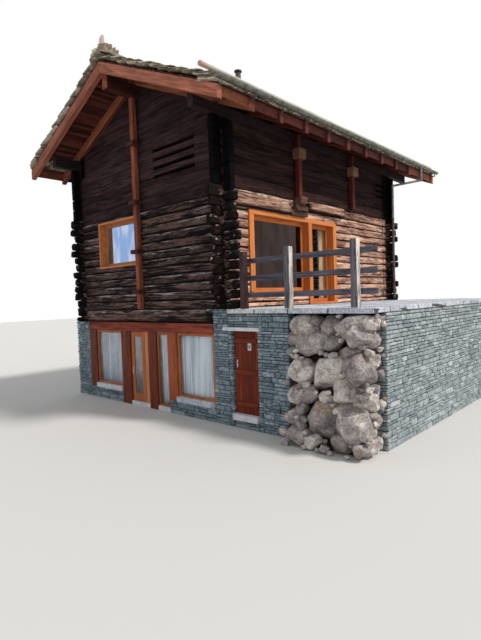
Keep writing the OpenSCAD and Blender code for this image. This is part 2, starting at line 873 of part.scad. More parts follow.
// Four clamps on each gable binder and one near the top of each side binder
module clamps() {
    gable_z = [terrace_z + clamp_1_up, terrace_z + clamp_2_up, log_top + clamp_3_up, eave_z - clamp_4_down];
    side_foot = eave_z - side_clamp_down;
    color(larch) {
        for (back = [0, 1]) mirror([0, back, 0]) on_front() translate([-gable_binder_x, 0, 0])
            for (z = gable_z) clamp(z, clamp_h);
        for (y = side_binder_y) {
            on_right() translate([y, 0, 0]) clamp(side_foot, side_clamp_h);
            on_left() translate([y, 0, 0]) clamp(side_foot, side_clamp_h);
        }
    }
}

// Roof

module ridge_purlin() {
    w = ridge_w / 2;
    low = ridge_under - ridge_h;
    color(larch) translate([0, roof_back - rafter_w, 0]) rotate([90, 0, 0])
        linear_extrude(roof_back - roof_front - 2 * rafter_w)
            polygon([[-w, low], [w, low], [w, under(w) - seat],
                [0, ridge_under - seat], [-w, under(w) - seat]]);
}

// Wall plates on the side walls, which run out under both overhangs
module wall_plates() {
    x0 = hw - log_t;
    y0 = roof_front + rafter_w + 100;
    y1 = roof_back - rafter_w - 100;
    low = plate_z + seat;
    color(dark_plank) for (side = [0, 1]) mirror([side, 0, 0])
        translate([0, y1, 0]) rotate([90, 0, 0]) linear_extrude(y1 - y0)
            polygon([[x0, low], [hw, low], [hw, under(hw) - seat], [x0, under(x0) - seat]]);
}

// One slope of rafters, cut plumb at the eave and at the ridge, with boards between their tails
module rafter_slope() {
    tail_top = under(tail_x) + rafter_h;
    low = tail_top - tail_h;
    for (i = [0 : rafter_count - 1]) {
        y = roof_front + i * rafter_pitch;
        translate([0, y + rafter_w, 0]) rotate([90, 0, 0]) linear_extrude(rafter_w)
            polygon([[slack, ridge_under], [eave_x, under(eave_x)],
                [eave_x, under(eave_x) + rafter_h], [slack, rafter_top]]);
        if (i < rafter_count - 1)
            block([tail_x - tail_t, y + rafter_w + seat, low],
                [tail_x, y + rafter_pitch - seat, tail_top - seat]);
    }
}
tail_x = eave_x - 60;
tail_t = 30;
tail_h = 0.75 * rafter_h;

module rafters() {
    color(larch) for (side = [0, 1]) mirror([side, 0, 0]) rafter_slope();
}

module roof_boards() {
    color(larch) difference() {
        for (side = [0, 1]) mirror([side, 0, 0])
            translate([0, roof_back, 0]) rotate([90, 0, 0]) linear_extrude(roof_back - roof_front)
                polygon([[slack, rafter_top + seat], [eave_x, under(eave_x) + rafter_h + seat],
                    [eave_x, under(eave_x) + rafter_h + board_v], [slack, rafter_top + board_v]]);
        flue_hole();
    }
}

// Point at distance x from the ridge line, at a height above the underside of the covering
function over_boards(x, up) = [x, slab_under - slope * x + up];

// One slope of the stone covering, in lapped courses. A slab's upper end rests on the boards, its
// lower end on the next courses' slabs, and two starter courses lift the lowest one at the eave.
module stone_slope() {
    starters = floor(slab_nose / slab_t) - 1;
    for (i = [1 : slab_courses + starters]) {
        low = max(slack, i * run - (slab_nose - slab_t + seat) * run / slab_t);
        high = min(i * run, cover_x);
        tops = [for (x = [low, high]) slab_nose - (i * run - x) * slab_t / run];
        bottoms = tops - [slab_t - seat, slab_t - seat];
        translate([0, roof_back + slab_out, 0]) rotate([90, 0, 0])
            linear_extrude(roof_back - roof_front + 2 * slab_out)
                polygon([over_boards(low, bottoms[0]), over_boards(high, bottoms[1]),
                    over_boards(high, tops[1]), over_boards(low, tops[0])]);
    }
}

// The flue starts under the boards and rises through them and the covering
module flue_place() {
    translate([flue_x, -hl + flue_y, slab_under - slope * flue_x - flue_foot]) children();
}
flue_foot = 150;

module flue_hole() {
    flue_place() cylinder(h = flue_foot + slab_nose + 260, r = flue_r + seat);
}

module stone_roof() {
    color(slate) difference() {
        for (side = [0, 1]) mirror([side, 0, 0]) stone_slope();
        flue_hole();
    }
}

// Ridge slabs laid over both slopes, with a small pile and an upright stone at the front end
module ridge_slabs() {
    reach = run + 40;
    edge = 50;
    crown = 120;
    cap = [540, 620, 60];
    top = slab_under + slab_nose + ridge_slab_t;
    front = roof_front - slab_out;
    color(slate) {
        for (side = [0, 1]) mirror([side, 0, 0])
            translate([0, roof_back + slab_out, 0]) rotate([90, 0, 0])
                linear_extrude(roof_back - front + slab_out)
                    polygon([[slack, on_slabs(0) + seat], [reach, on_slabs(reach) + seat],
                        [reach, on_slabs(reach) + edge], [crown, top], [slack, top]]);
        translate([-280, front, top + seat]) cube(cap);
        translate([-90, front + 120, top + cap[2] + 2 * seat]) cube([170, 120, 320]);
    }
}

// Centre line of the gutter, and the half circle above its rim
gutter_x = cover_x + gutter_r + 10;
gutter_z = under(eave_x) + rafter_h + gutter_up;

module above_rim() {
    translate([-gutter_r - 1, 0]) square([2 * gutter_r + 2, gutter_r + 1]);
}

// Half-round gutter with two end caps, on a bracket at each rafter
module gutter() {
    y0 = roof_front - slab_out;
    y1 = roof_back + slab_out;
    arm = 15;
    color(zinc) {
        translate([gutter_x, y1, gutter_z]) rotate([90, 0, 0]) linear_extrude(y1 - y0) difference() {
            circle(gutter_r);
            circle(gutter_r - sheet_t);
            above_rim();
        }
        for (y = [y0 + sheet_t, y1])
            translate([gutter_x, y, gutter_z]) rotate([90, 0, 0]) linear_extrude(sheet_t) difference() {
                circle(gutter_r);
                above_rim();
            }
        for (i = [0 : rafter_count - 1])
            translate([0, roof_front + i * rafter_pitch + rafter_w / 2, gutter_z - gutter_r]) {
                block([eave_x + seat, -arm, -90], [gutter_x, arm, -45]);
                block([gutter_x - 25, -arm, -90], [gutter_x, arm, -seat]);
            }
    }
}

// Downpipe from the gutter's outlet, by a slanting neck, down beside the back corner
module downpipe() {
    bay = ceil((hl - roof_front) / rafter_pitch);
    out = [gutter_x, roof_front + bay * rafter_pitch - pipe_in, under(eave_x) - 90];
    foot = [hw + end_min + 100, hl - log_t - pipe_r - 60, out[2] - 170];
    neck = out - foot;
    elbow = pipe_r + 4;
    low = terrace_z + 60;
    color(zinc) {
        translate(out) cylinder(h = gutter_z - gutter_r - out[2] - seat, r = pipe_r);
        translate(out) sphere(elbow);
        translate(foot) rotate([0, acos(neck[2] / norm(neck)), atan2(neck[1], neck[0])])
            cylinder(h = norm(neck), r = pipe_r - 3);
        translate(foot) sphere(elbow);
        translate([foot[0], foot[1], low]) cylinder(h = foot[2] - low, r = pipe_r);
        for (h = [terrace_z + 700, log_top + 140]) {
            translate([foot[0], foot[1], h]) cylinder(h = 40, r = pipe_r + 8);
            block([foot[0] - 12, foot[1], h + 5], [foot[0] + 12, hl - log_t - seat, h + 35]);
        }
    }
}

// The pole that holds the snow, lying on the lowest slab course
module snow_pole() {
    x = cover_x - pole_in;
    tilt = atan(slope - slab_t / run);
    nose = slab_under - slope * cover_x + slab_nose;
    z = nose + pole_in * tan(tilt) + (pole_r + seat) / cos(tilt);
    y0 = roof_front - slab_out - pole_out;
    long = roof_back + slab_out - y0;
    color(grey_wood) translate([x, y0 + long, z]) rotate([90, 0, 0]) cylinder(h = long, r = pole_r);
}

module flue() {
    top = flue_h + flue_foot;
    color(zinc) flue_place() {
        cylinder(h = top, r = flue_r);
        translate([0, 0, top]) cylinder(h = 40, r = flue_r - 20);
        translate([0, 0, top + 40]) cylinder(h = 30, r = flue_r + 30);
    }
}

// Cellar and terrace

// Pale slab over the cellar door, let into the masonry at its right end, with a lip over the pier
lintel_end = doorway[1] + 120;
lintel_start = hw - 100;
lintel_top = door_top + cellar_lintel_t;

// Masonry beside, under and over the doorway
module cellar_front() {
    back = -hl + retain_t;
    color(stone) {
        block([hw + seat, -hl, 0], [doorway[0], back, door_top - seat]);
        difference() {
            block([doorway[1], -hl, 0], [cellar_x, back, wall_top - seat]);
            block([hw, -hl - 1, door_top - seat], [lintel_end + seat, back + 1, lintel_top + seat]);
        }
        block([doorway[0] + seat, -hl, 0], [doorway[1] - seat, back, threshold_h - sill_t - seat]);
        block([hw + seat, -hl, lintel_top + seat], [doorway[1] - seat, back, wall_top - seat]);
    }
}

module cellar_lintel() {
    color(pale_stone) {
        block([hw + seat, -hl, door_top], [lintel_end, -hl + retain_t, lintel_top]);
        block([lintel_start, -hl - sill_lip, door_top], [lintel_end, -hl - seat, lintel_top]);
        block([doorway[0], -hl - 1, door_top], [doorway[1], -hl + 1, lintel_top]);
    }
}

// Boarded leaf, hinged on its right edge, with three ledges on its outer side
cellar_leaf_y = -hl + cellar_recess;

module cellar_door() {
    low = threshold_h + leaf_gap;
    ledge_h = 110;
    ledge_t = 30;
    ledge_in = leaf_gap + 40;
    color(larch) {
        block([doorway[0] + leaf_gap, cellar_leaf_y, low],
            [doorway[1] - leaf_gap, cellar_leaf_y + leaf_t, door_top - leaf_gap]);
        for (z = hinge_feet(threshold_h, door_top))
            block([doorway[0] + ledge_in, cellar_leaf_y - ledge_t, z],
                [doorway[1] - ledge_in, cellar_leaf_y - seat, z + ledge_h]);
    }
}

// Walls under the terrace: the cellar's own, with its floor, and the two outer ones
module terrace_walls() {
    front = -hl + retain_t + seat;
    back = front + cellar_d;
    room_x = cellar_x - retain_t;
    top = wall_top - seat;
    color(stone) {
        block([room_x, front, 0], [cellar_x, back + retain_t, top]);
        block([hw + seat, back, 0], [room_x - seat, back + retain_t, top]);
        block([hw + seat, front, 0], [room_x - seat, back - seat, floor_t]);
        block([terrace_x - retain_t, front, 0], [terrace_x, hl, top]);
        block([hw + seat, hl - retain_t, 0], [terrace_x - retain_t - seat, hl, top]);
    }
}

module boulder_wall() {
    back = -hl + retain_t;
    top = wall_top - seat;
    color(stone) translate([cellar_x + seat, 0, 0]) rotate([90, 0, 90])
        linear_extrude(terrace_x - cellar_x - seat)
            polygon([[-hl - batter, 0], [back, 0], [back, top], [-hl, top],
                [-hl - batter * 0.45, wall_top * 0.6]]);
}

module terrace_slab() {
    lip = 40;
    color(pale_stone) block([hw + seat, -hl - lip, wall_top], [terrace_x, hl, terrace_z - seat]);
}

// Three posts at the terrace's front edge, with three rails behind them
module fence() {
    y = -hl - 30;
    first = end_max + fence_post / 2 + 15;
    rail_y = y + fence_post;
    color(grey_wood) {
        for (out = [first, fence_post_2, fence_post_3])
            translate([hw + out - fence_post / 2, y, terrace_z]) cube([fence_post, fence_post, fence_h]);
        for (i = [0 : 2]) {
            z = terrace_z + rail_z + i * rail_pitch;
            block([hw + first - fence_post / 2, rail_y + seat, z], [terrace_x, rail_y + rail_t, z + rail_h]);
        }
    }
}

ground_floor();
left_stone_wall();
back_stone_wall();
right_stone_wall();
front_piers();
plinths();
sills();
lintel_beam();
front_posts();
front_window_frames();
window_glass();
curtains();
curtain_rails();
door_hinges();
front_door();
front_door_glass();
front_door_handle();
upper_floor();
front_log_wall();
back_log_wall();
left_log_wall();
right_log_wall();
front_plank_wall();
back_plank_wall();
left_plank_wall();
right_plank_wall();
gable_window();
terrace_window();
cover_logs();
binders();
clamps();
ridge_purlin();
wall_plates();
rafters();
roof_boards();
stone_roof();
ridge_slabs();
gutter();
downpipe();
snow_pole();
flue();
cellar_front();
cellar_lintel();
cellar_door();
terrace_walls();
boulder_wall();
terrace_slab();
fence();
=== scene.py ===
import math
import random

import bmesh
import bpy
import numpy as np
from mathutils import Matrix, Vector


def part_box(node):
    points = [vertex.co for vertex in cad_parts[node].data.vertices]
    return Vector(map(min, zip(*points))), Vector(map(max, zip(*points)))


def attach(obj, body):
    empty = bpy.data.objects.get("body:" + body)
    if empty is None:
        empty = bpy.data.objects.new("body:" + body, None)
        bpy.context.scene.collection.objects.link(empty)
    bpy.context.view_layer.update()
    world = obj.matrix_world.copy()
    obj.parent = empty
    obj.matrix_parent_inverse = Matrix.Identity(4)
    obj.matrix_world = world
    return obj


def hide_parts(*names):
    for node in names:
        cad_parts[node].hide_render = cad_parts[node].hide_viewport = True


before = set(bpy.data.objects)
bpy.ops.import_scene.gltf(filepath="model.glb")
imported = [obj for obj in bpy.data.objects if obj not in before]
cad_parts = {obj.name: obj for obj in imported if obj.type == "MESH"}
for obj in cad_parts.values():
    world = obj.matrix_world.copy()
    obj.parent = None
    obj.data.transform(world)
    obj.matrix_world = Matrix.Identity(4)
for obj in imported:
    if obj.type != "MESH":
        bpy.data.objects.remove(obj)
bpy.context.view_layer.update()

# Log chalet on a stone storey. Front gable at -Y, terrace at +X, metres.
photoCamera = {
    "place": (11.154, -12.3, 3.05),
    "yaw": 42.81, "pitch": -2.67, "roll": 1.92,
    "focalPixels": 473.16, "longSidePixels": 640, "sensor": 36.0,
}

studio = {
    "sunFrom": (0.6, 0.2, 0.775), "sunStrength": 2.7, "sunSoftness": 9.0, "sunTint": (1.0, 0.97, 0.93),
    "worldStrength": 0.62, "worldTint": (0.93, 0.96, 1.0),
    "floorSize": 160.0, "floorDrop": 0.002, "floorColour": (206, 204, 200),
}


# Small helpers

def tint(red, green, blue):
    def linear(v):
        v = v / 255
        return v / 12.92 if v <= 0.04045 else ((v + 0.055) / 1.055) ** 2.4
    return (linear(red), linear(green), linear(blue), 1.0)


def hashCells(cell, seed):
    # -1 to 1 for a whole-number cell, the same in every run
    h = (cell[..., 0] * 374761393 + cell[..., 1] * 668265263 + cell[..., 2] * 974634777
         + seed * 1274126177) & 0xFFFFFFFF
    h = ((h ^ (h >> 13)) * 1103515245) & 0xFFFFFFFF
    return ((h ^ (h >> 16)) & 0xFFFF) / 32767.5 - 1.0


def smoothNoise(points, seed=0):
    low = np.floor(points).astype(np.int64)
    t = points - low
    t = t * t * (3 - 2 * t)
    total = 0.0
    for corner in range(8):
        step = np.array([corner & 1, corner >> 1 & 1, corner >> 2 & 1])
        weight = np.prod(np.where(step, t, 1 - t), axis=-1)
        total = total + weight * hashCells(low + step, seed)
    return total


def stack3(x, y, z):
    return np.stack(np.broadcast_arrays(x, y, z), axis=-1)


# Meshes are gathered in a heap and made into one object at the end of each piece

pointMarks = ("grain", "tone", "wearAndShade", "crown")


def newHeap():
    return {"co": [], "faces": [], "size": 0, **{key: [] for key in pointMarks}}


def addPart(heap, co, faces, grain=None, tone=0.5, wearAndShade=0.0, crown=0.0, skin=0):
    co = np.asarray(co, float).reshape(-1, 3)
    heap["co"].append(co)
    heap["grain"].append(co if grain is None else np.asarray(grain, float).reshape(-1, 3))
    for key, value in (("tone", tone), ("wearAndShade", wearAndShade), ("crown", crown)):
        heap[key].append(np.broadcast_to(np.asarray(value, float).ravel(), len(co)))
    for f in faces:
        heap["faces"].append((np.asarray(f) + heap["size"], skin))
    heap["size"] += len(co)


def mirrorLast(heap):
    heap["co"][-1] = heap["co"][-1] * np.array([-1, 1, 1])


def putAttribute(mesh, name, values):
    values = np.asarray(values, np.float32)
    kind, key = ("FLOAT_VECTOR", "vector") if values.ndim == 2 else ("FLOAT", "value")
    layer = mesh.attributes.get(name) or mesh.attributes.new(name, kind, "POINT")
    layer.data.foreach_set(key, values.ravel())


def makePiece(heap, name, skinNames, node, body="house", sharp=38):
    mesh = bpy.data.meshes.new(name)
    co = np.concatenate(heap["co"])
    counts = np.concatenate([np.full(len(f), f.shape[1]) for f, s in heap["faces"]])
    skinIndex = np.concatenate([np.full(len(f), s) for f, s in heap["faces"]])
    corners = np.concatenate([f.ravel() for f, s in heap["faces"]])
    mesh.vertices.add(len(co))
    mesh.vertices.foreach_set("co", co.ravel())
    mesh.loops.add(len(corners))
    mesh.loops.foreach_set("vertex_index", corners.astype(np.int32))
    mesh.polygons.add(len(counts))
    mesh.polygons.foreach_set("loop_start", (np.cumsum(counts) - counts).astype(np.int32))
    mesh.update(calc_edges=True)
    mesh.polygons.foreach_set("material_index", skinIndex.astype(np.int32))
    for skinName in skinNames:
        mesh.materials.append(skins[skinName])
    for key in pointMarks:
        putAttribute(mesh, key, np.concatenate(heap[key]))
    shaped = bmesh.new()
    shaped.from_mesh(mesh)
    bmesh.ops.recalc_face_normals(shaped, faces=shaped.faces)
    shaped.to_mesh(mesh)
    shaped.free()
    mesh.shade_smooth()
    mesh.set_sharp_from_angle(angle=math.radians(sharp))
    piece = bpy.data.objects.new(name, mesh)
    bpy.context.scene.collection.objects.link(piece)
    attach(piece, body)
    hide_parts(node)
    return piece


# A box template with chamfered edges: sign of each corner and whether it lies on that face

def chamferTemplate():
    shape = bmesh.new()
    bmesh.ops.create_cube(shape, size=2.0)
    bmesh.ops.bevel(shape, geom=shape.edges[:], offset=0.2, segments=1, affect="EDGES")
    shape.verts.ensure_lookup_table()
    co = np.array([v.co[:] for v in shape.verts])
    quads, tris = (np.array([[v.index for v in f.verts] for f in shape.faces if len(f.verts) == n])
                   for n in (4, 3))
    shape.free()
    return np.sign(co), (np.abs(co) > 0.9).astype(float), quads, tris


boxSign, boxOuter, boxQuads, boxTris = chamferTemplate()


def addBlocks(heap, lows, highs, bevel=0.006, jitter=0.0, tones=None, skin=0, seed=0, along=0):
    # Many chamfered boxes at once, each a little out of true where jitter isn't 0
    lows, highs = np.atleast_2d(lows).astype(float), np.atleast_2d(highs).astype(float)
    count = len(lows)
    mid, half = (lows + highs) / 2, (highs - lows) / 2
    cut = np.minimum(bevel, 0.45 * half.min(axis=1))[:, None, None]
    co = mid[:, None, :] + boxSign * (half[:, None, :] - (1 - boxOuter) * cut)
    if jitter:
        cell = ((boxSign * 5 + np.arange(count)[:, None, None] * 17.3) * 10).astype(np.int64)
        push = stack3(*(hashCells(cell, seed + n) for n in (1, 2, 3)))
        co = co - np.abs(push) * boxSign * np.minimum(jitter, 0.3 * half[:, None, :])
    tones = np.full(count, 0.5) if tones is None else np.asarray(tones)
    base = (np.arange(count) * len(boxSign))[:, None, None]
    order = [along, (along + 1) % 3, (along + 2) % 3]
    grain = (co + (np.arange(count) * 3.71)[:, None, None])[..., order]
    addPart(heap, co, [(boxQuads + base).reshape(-1, 4), (boxTris + base).reshape(-1, 3)], grain=grain,
            tone=np.repeat(tones, len(boxSign)), skin=skin)


# Unevenness of a hewn timber: how fast it changes along and about it, and how far off the next one's is
hewnNoise = {"wave": (1.1, 1.2, 7.7), "rough": (6, 2.6, 3.1), "groove": (1.6, 6, 9.1)}


def ringMarks(span, look, cuts):
    a, b = span
    tip = look["tip"]
    marks = list(np.arange(a, b, look["step"])) + [b, a + 0.3 * tip, b - 0.3 * tip, a + tip, b - tip]
    for cut in cuts:
        for edge in cut[:2]:
            marks += [edge - 0.0015, edge + 0.0015]
    return np.unique(np.round(np.clip(marks, a, b), 4))


def tubeFaces(rings, points):
    # Sides between the rings, and fans to the two middle points that follow the rings
    first = np.arange(rings - 1)[:, None] * points
    i = np.arange(points)
    j = (i + 1) % points
    last, total = (rings - 1) * points, rings * points
    quads = np.stack([first + i, first + j, first + points + j, first + points + i], axis=-1).reshape(-1, 4)
    startFan = np.stack([np.full(points, total), j, i], axis=-1)
    endFan = np.stack([np.full(points, total + 1), last + i, last + j], axis=-1)
    return [quads, startFan, endFan]


def hewn(heap, span, rise, depth, place, look, seed, cuts=(), limit=None, roundEnds=(True, True),
         tone=None, skin=0):
    # A timber lofted from uneven rings. span runs along it, rise is its foot and top. A cut keeps it
    # between two heights for a part of its length.
    a, b = span
    low, high = rise
    s = ringMarks(span, look, cuts)
    turn = np.linspace(0, 2 * math.pi, look["points"], endpoint=False)
    ca, sa = np.cos(turn), np.sin(turn)
    across = np.sign(ca) * np.abs(ca) ** look["square"]
    up = np.sign(sa) * np.abs(sa) ** look["square"]
    sGrid = s[:, None] + 0 * turn
    farEnd = 99.0
    nearEnd = np.minimum(np.where(roundEnds[0], s - a, farEnd), np.where(roundEnds[1], b - s, farEnd))
    endness = np.clip(1 - nearEnd / look.get("endLong", 0.32), 0, 1)[:, None]
    swell = 0.0
    for n, (key, (along, about, apart)) in enumerate(hewnNoise.items()):
        points = stack3(sGrid * along, ca * about, sa * about + seed * apart)
        swell = swell + look[key] * smoothNoise(points, seed + n)
    swell = swell * (1 + look.get("endRough", 0.0) * endness) - look.get("shrink", 0.0)
    t = np.clip(nearEnd / look["tip"], 0, 1)[:, None]
    narrow = 1 - look["tipLoss"] * (1 - np.sqrt(1 - (1 - t) ** 2))
    out = across * (depth / 2 + swell) * narrow - depth / 2
    z = (low + high) / 2 + up * ((high - low) / 2 + swell * 0.7) * narrow
    z = z + (look["sway"] * smoothNoise(stack3(s * 0.5, s * 0, s * 0 + seed * 1.7), seed + 4))[:, None]
    for c0, c1, zLow, zHigh in cuts:
        z = np.where((sGrid > c0) & (sGrid < c1), np.clip(z, zLow, zHigh), z)
    sPlaced = np.clip(sGrid, -limit(z), limit(z)) if limit else sGrid.copy()
    ragged = np.abs(look["ragged"] * smoothNoise(stack3(ca * 2, sa * 2, sa * 0 + seed * 5.3), seed + 6))
    if roundEnds[0]:
        sPlaced[0] += ragged
    if roundEnds[1]:
        sPlaced[-1] -= ragged
    co = place(sPlaced, out, z)
    grain = stack3(sPlaced + seed * 2.37, out + seed * 0.73, z)
    both = [np.concatenate([v.reshape(-1, 3), [v[0].mean(0), v[-1].mean(0)]]) for v in (co, grain)]
    ends = look.get("endWearAndShade", 0.0)
    wearAndShade = np.concatenate([(endness * ends * np.ones(len(turn))).ravel(), [ends, ends]])
    crown = np.concatenate([(sa + 0 * sGrid).ravel(), [0, 0]])
    shade = (hashCells(np.array([seed, seed * 3, 7]), 5) + 1) / 2 if tone is None else tone
    addPart(heap, both[0], tubeFaces(*co.shape[:2]), grain=both[1], tone=shade, wearAndShade=wearAndShade, crown=crown,
            skin=skin)


# Shader node helpers

def put(tree, kind, settings=None, plugs=None):
    node = tree.nodes.new(kind)
    for key, value in (settings or {}).items():
        setattr(node, key, value)
    for key, value in (plugs or {}).items():
        if isinstance(value, bpy.types.NodeSocket):
            tree.links.new(value, node.inputs[key])
        else:
            node.inputs[key].default_value = value
    return node


def maths(tree, operation, a, b=0.0):
    return put(tree, "ShaderNodeMath", {"operation": operation}, {0: a, 1: b}).outputs[0]


def add(tree, a, b):
    return maths(tree, "ADD", a, b)


def subtract(tree, a, b):
    return maths(tree, "SUBTRACT", a, b)


def times(tree, a, b):
    return maths(tree, "MULTIPLY", a, b)


def weighted(tree, a, shareA, b, shareB):
    return add(tree, times(tree, a, shareA), times(tree, b, shareB))


def blendColours(tree, factor, a, b, mode="MIX"):
    node = put(tree, "ShaderNodeMix", {"data_type": "RGBA", "blend_type": mode}, {0: factor, 6: a, 7: b})
    return node.outputs[2]


def greyOf(tree, value):
    return put(tree, "ShaderNodeCombineColor", None, {0: value, 1: value, 2: value}).outputs[0]


def ramp(tree, value, low, high, toLow=0.0, toHigh=1.0, kind="LINEAR"):
    plugs = {"Value": value, "From Min": low, "From Max": high, "To Min": toLow, "To Max": toHigh}
    return put(tree, "ShaderNodeMapRange", {"interpolation_type": kind}, plugs).outputs[0]


def softRamp(tree, value, low, high, toLow=0.0, toHigh=1.0):
    return ramp(tree, value, low, high, toLow, toHigh, "SMOOTHSTEP")


def stretched(tree, place, x, y, z):
    return put(tree, "ShaderNodeVectorMath", {"operation": "MULTIPLY"}, {0: place, 1: (x, y, z)}).outputs[0]


def noiseOf(tree, place, scale, detail=4.0, rough=0.55, distort=0.0):
    plugs = {"Vector": place, "Scale": scale, "Detail": detail, "Roughness": rough, "Distortion": distort}
    return put(tree, "ShaderNodeTexNoise", None, plugs).outputs[0]


def grainNoise(tree, place, along, across, detail=4.0, rough=0.55):
    # Noise with its own size along the grain and across it
    return noiseOf(tree, stretched(tree, place, along, across, across), 1.0, detail, rough)


# Node groups. The kind of a socket follows from its start value: None is a place, a number a float,
# three numbers a colour.

def newGroup(name, inputs, outputs):
    group = bpy.data.node_groups.new(name, "ShaderNodeTree")
    for label, value in inputs.items():
        kind = "Vector" if value is None else ("Color" if isinstance(value, tuple) else "Float")
        socket = group.interface.new_socket(label, in_out="INPUT", socket_type="NodeSocket" + kind)
        if value is not None:
            socket.default_value = (*value, 1) if isinstance(value, tuple) else value
    for label, kind in outputs.items():
        group.interface.new_socket(label, in_out="OUTPUT", socket_type="NodeSocket" + kind)
    return group, put(group, "NodeGroupInput").outputs, put(group, "NodeGroupOutput").inputs


def buildGrainGroup():
    group, given, result = newGroup(
        "timberGrain",
        {"Place": None, "Tone": 0.5, "ToneSpan": 0.6, "Light": (0.5, 0.4, 0.3), "Dark": (0.2, 0.1, 0.1),
         "Fineness": 34.0, "Contrast": 0.5},
        {"Colour": "Color", "Height": "Float"})
    scaleBy = put(group, "ShaderNodeCombineXYZ", None, {0: 1.3, 1: given["Fineness"], 2: given["Fineness"]})
    fine = put(group, "ShaderNodeVectorMath", {"operation": "MULTIPLY"},
               {0: given["Place"], 1: scaleBy.outputs[0]}).outputs[0]
    fibres = noiseOf(group, fine, 1.0, 7.0, 0.68)
    bands = noiseOf(group, stretched(group, given["Place"], 0.7, 5.0, 5.0), 1.3, 4.0, 0.6, 0.4)
    both = weighted(group, fibres, 0.55, bands, 0.45)
    gap = subtract(group, 0.24, times(group, given["Contrast"], 0.14))
    share = ramp(group, both, subtract(group, 0.5, gap), add(group, 0.5, gap))
    colour = blendColours(group, share, given["Dark"], given["Light"])
    offset = times(group, subtract(group, given["Tone"], 0.5), given["ToneSpan"])
    toned = blendColours(group, 1.0, colour, greyOf(group, add(group, 1.0, offset)), "MULTIPLY")
    group.links.new(toned, result["Colour"])
    group.links.new(fibres, result["Height"])
    return group


def buildWeatherAndLightGroup():
    # Silver in streaks and on the upper edges (partly a painted highlight), painted shade along the foot, dark
    # ends (weathered end grain and painted shade), and painted glints on the ends
    group, given, result = newGroup(
        "timberWeatherAndLight",
        {"Place": None, "Colour": (0.3, 0.2, 0.2), "Silver": (0.5, 0.5, 0.5), "Amount": 0.5, "CrownSilverAndHighlight": 0.0,
         "Crown": 0.0, "WearAndShade": 0.0, "UnderShade": (0.02, 0.02, 0.02), "UnderShadeAmount": 0.0, "Ends": (0.1, 0.1, 0.1),
         "EndAmount": 0.0, "Glint": 0.0},
        {"Colour": "Color"})
    place, crown = given["Place"], given["Crown"]
    streaks = grainNoise(group, place, 1.6, 16.0, 6.0, 0.7)
    patches = grainNoise(group, place, 0.9, 2.2, 3.0, 0.5)
    # silver streaks are weathering; more silver on the crown side, the top of a log, is partly silvering and
    # partly a painted highlight
    lifted = add(group, weighted(group, streaks, 0.7, patches, 0.3), times(group, crown, given["CrownSilverAndHighlight"]))
    start = subtract(group, 0.75, times(group, given["Amount"], 0.35))
    silvered = blendColours(group, ramp(group, lifted, start, add(group, start, 0.1)), given["Colour"],
                            given["Silver"])
    # painted shade: darker on the side away from the crown, the underside of a log
    foot = subtract(group, times(group, streaks, 0.7), crown)
    underShading = times(group, softRamp(group, foot, 0.55, 1.2), given["UnderShadeAmount"])
    underShaded = blendColours(group, underShading, silvered, given["UnderShade"])
    # dark ends: weathered end grain, with painted shade on plank ends and near the corners
    wornAndShadedEnds = softRamp(group, weighted(group, given["WearAndShade"], 1.0, streaks, 0.9), 0.55, 0.85)
    ended = blendColours(group, times(group, wornAndShadedEnds, given["EndAmount"]), underShaded, given["Ends"])
    # painted glints: pale silver flecks on the timber ends
    edges = add(group, grainNoise(group, place, 3.0, 7.0, 4.0, 0.7), times(group, crown, 0.05))
    paintedGlints = times(group, softRamp(group, edges, 0.6, 0.72), times(group, wornAndShadedEnds, given["Glint"]))
    group.links.new(blendColours(group, paintedGlints, ended, given["Silver"]), result["Colour"])
    return group


def buildKnotGroup():
    # Knots, as a mask that is 1 in the middle of one; Share is the part of the cells that have one
    group, given, result = newGroup("knots", {"Place": None, "Share": 0.3}, {"Mask": "Float"})
    cells = put(group, "ShaderNodeTexVoronoi", None,
                {"Vector": stretched(group, given["Place"], 2.2, 6.0, 6.0), "Scale": 1.0}).outputs
    parts = put(group, "ShaderNodeSeparateColor", None, {0: cells["Color"]}).outputs
    picked = maths(group, "LESS_THAN", parts[0], given["Share"])
    dot = ramp(group, cells["Distance"], 0.05, 0.17, 1.0, 0.0)
    group.links.new(times(group, dot, picked), result["Mask"])
    return group


def buildCheckGroup():
    # Drying cracks along the grain, as a mask that is 1 in a crack
    group, given, result = newGroup("dryingCracks", {"Place": None, "Width": 0.012}, {"Mask": "Float"})
    wavy = grainNoise(group, given["Place"], 0.9, 13.0, 3.0, 0.6)
    away = maths(group, "ABSOLUTE", subtract(group, wavy, 0.5))
    line = ramp(group, away, 0.0, given["Width"], 1.0, 0.0)
    broken = softRamp(group, grainNoise(group, given["Place"], 2.5, 4.0, 2.0), 0.47, 0.56)
    group.links.new(times(group, line, broken), result["Mask"])
    return group


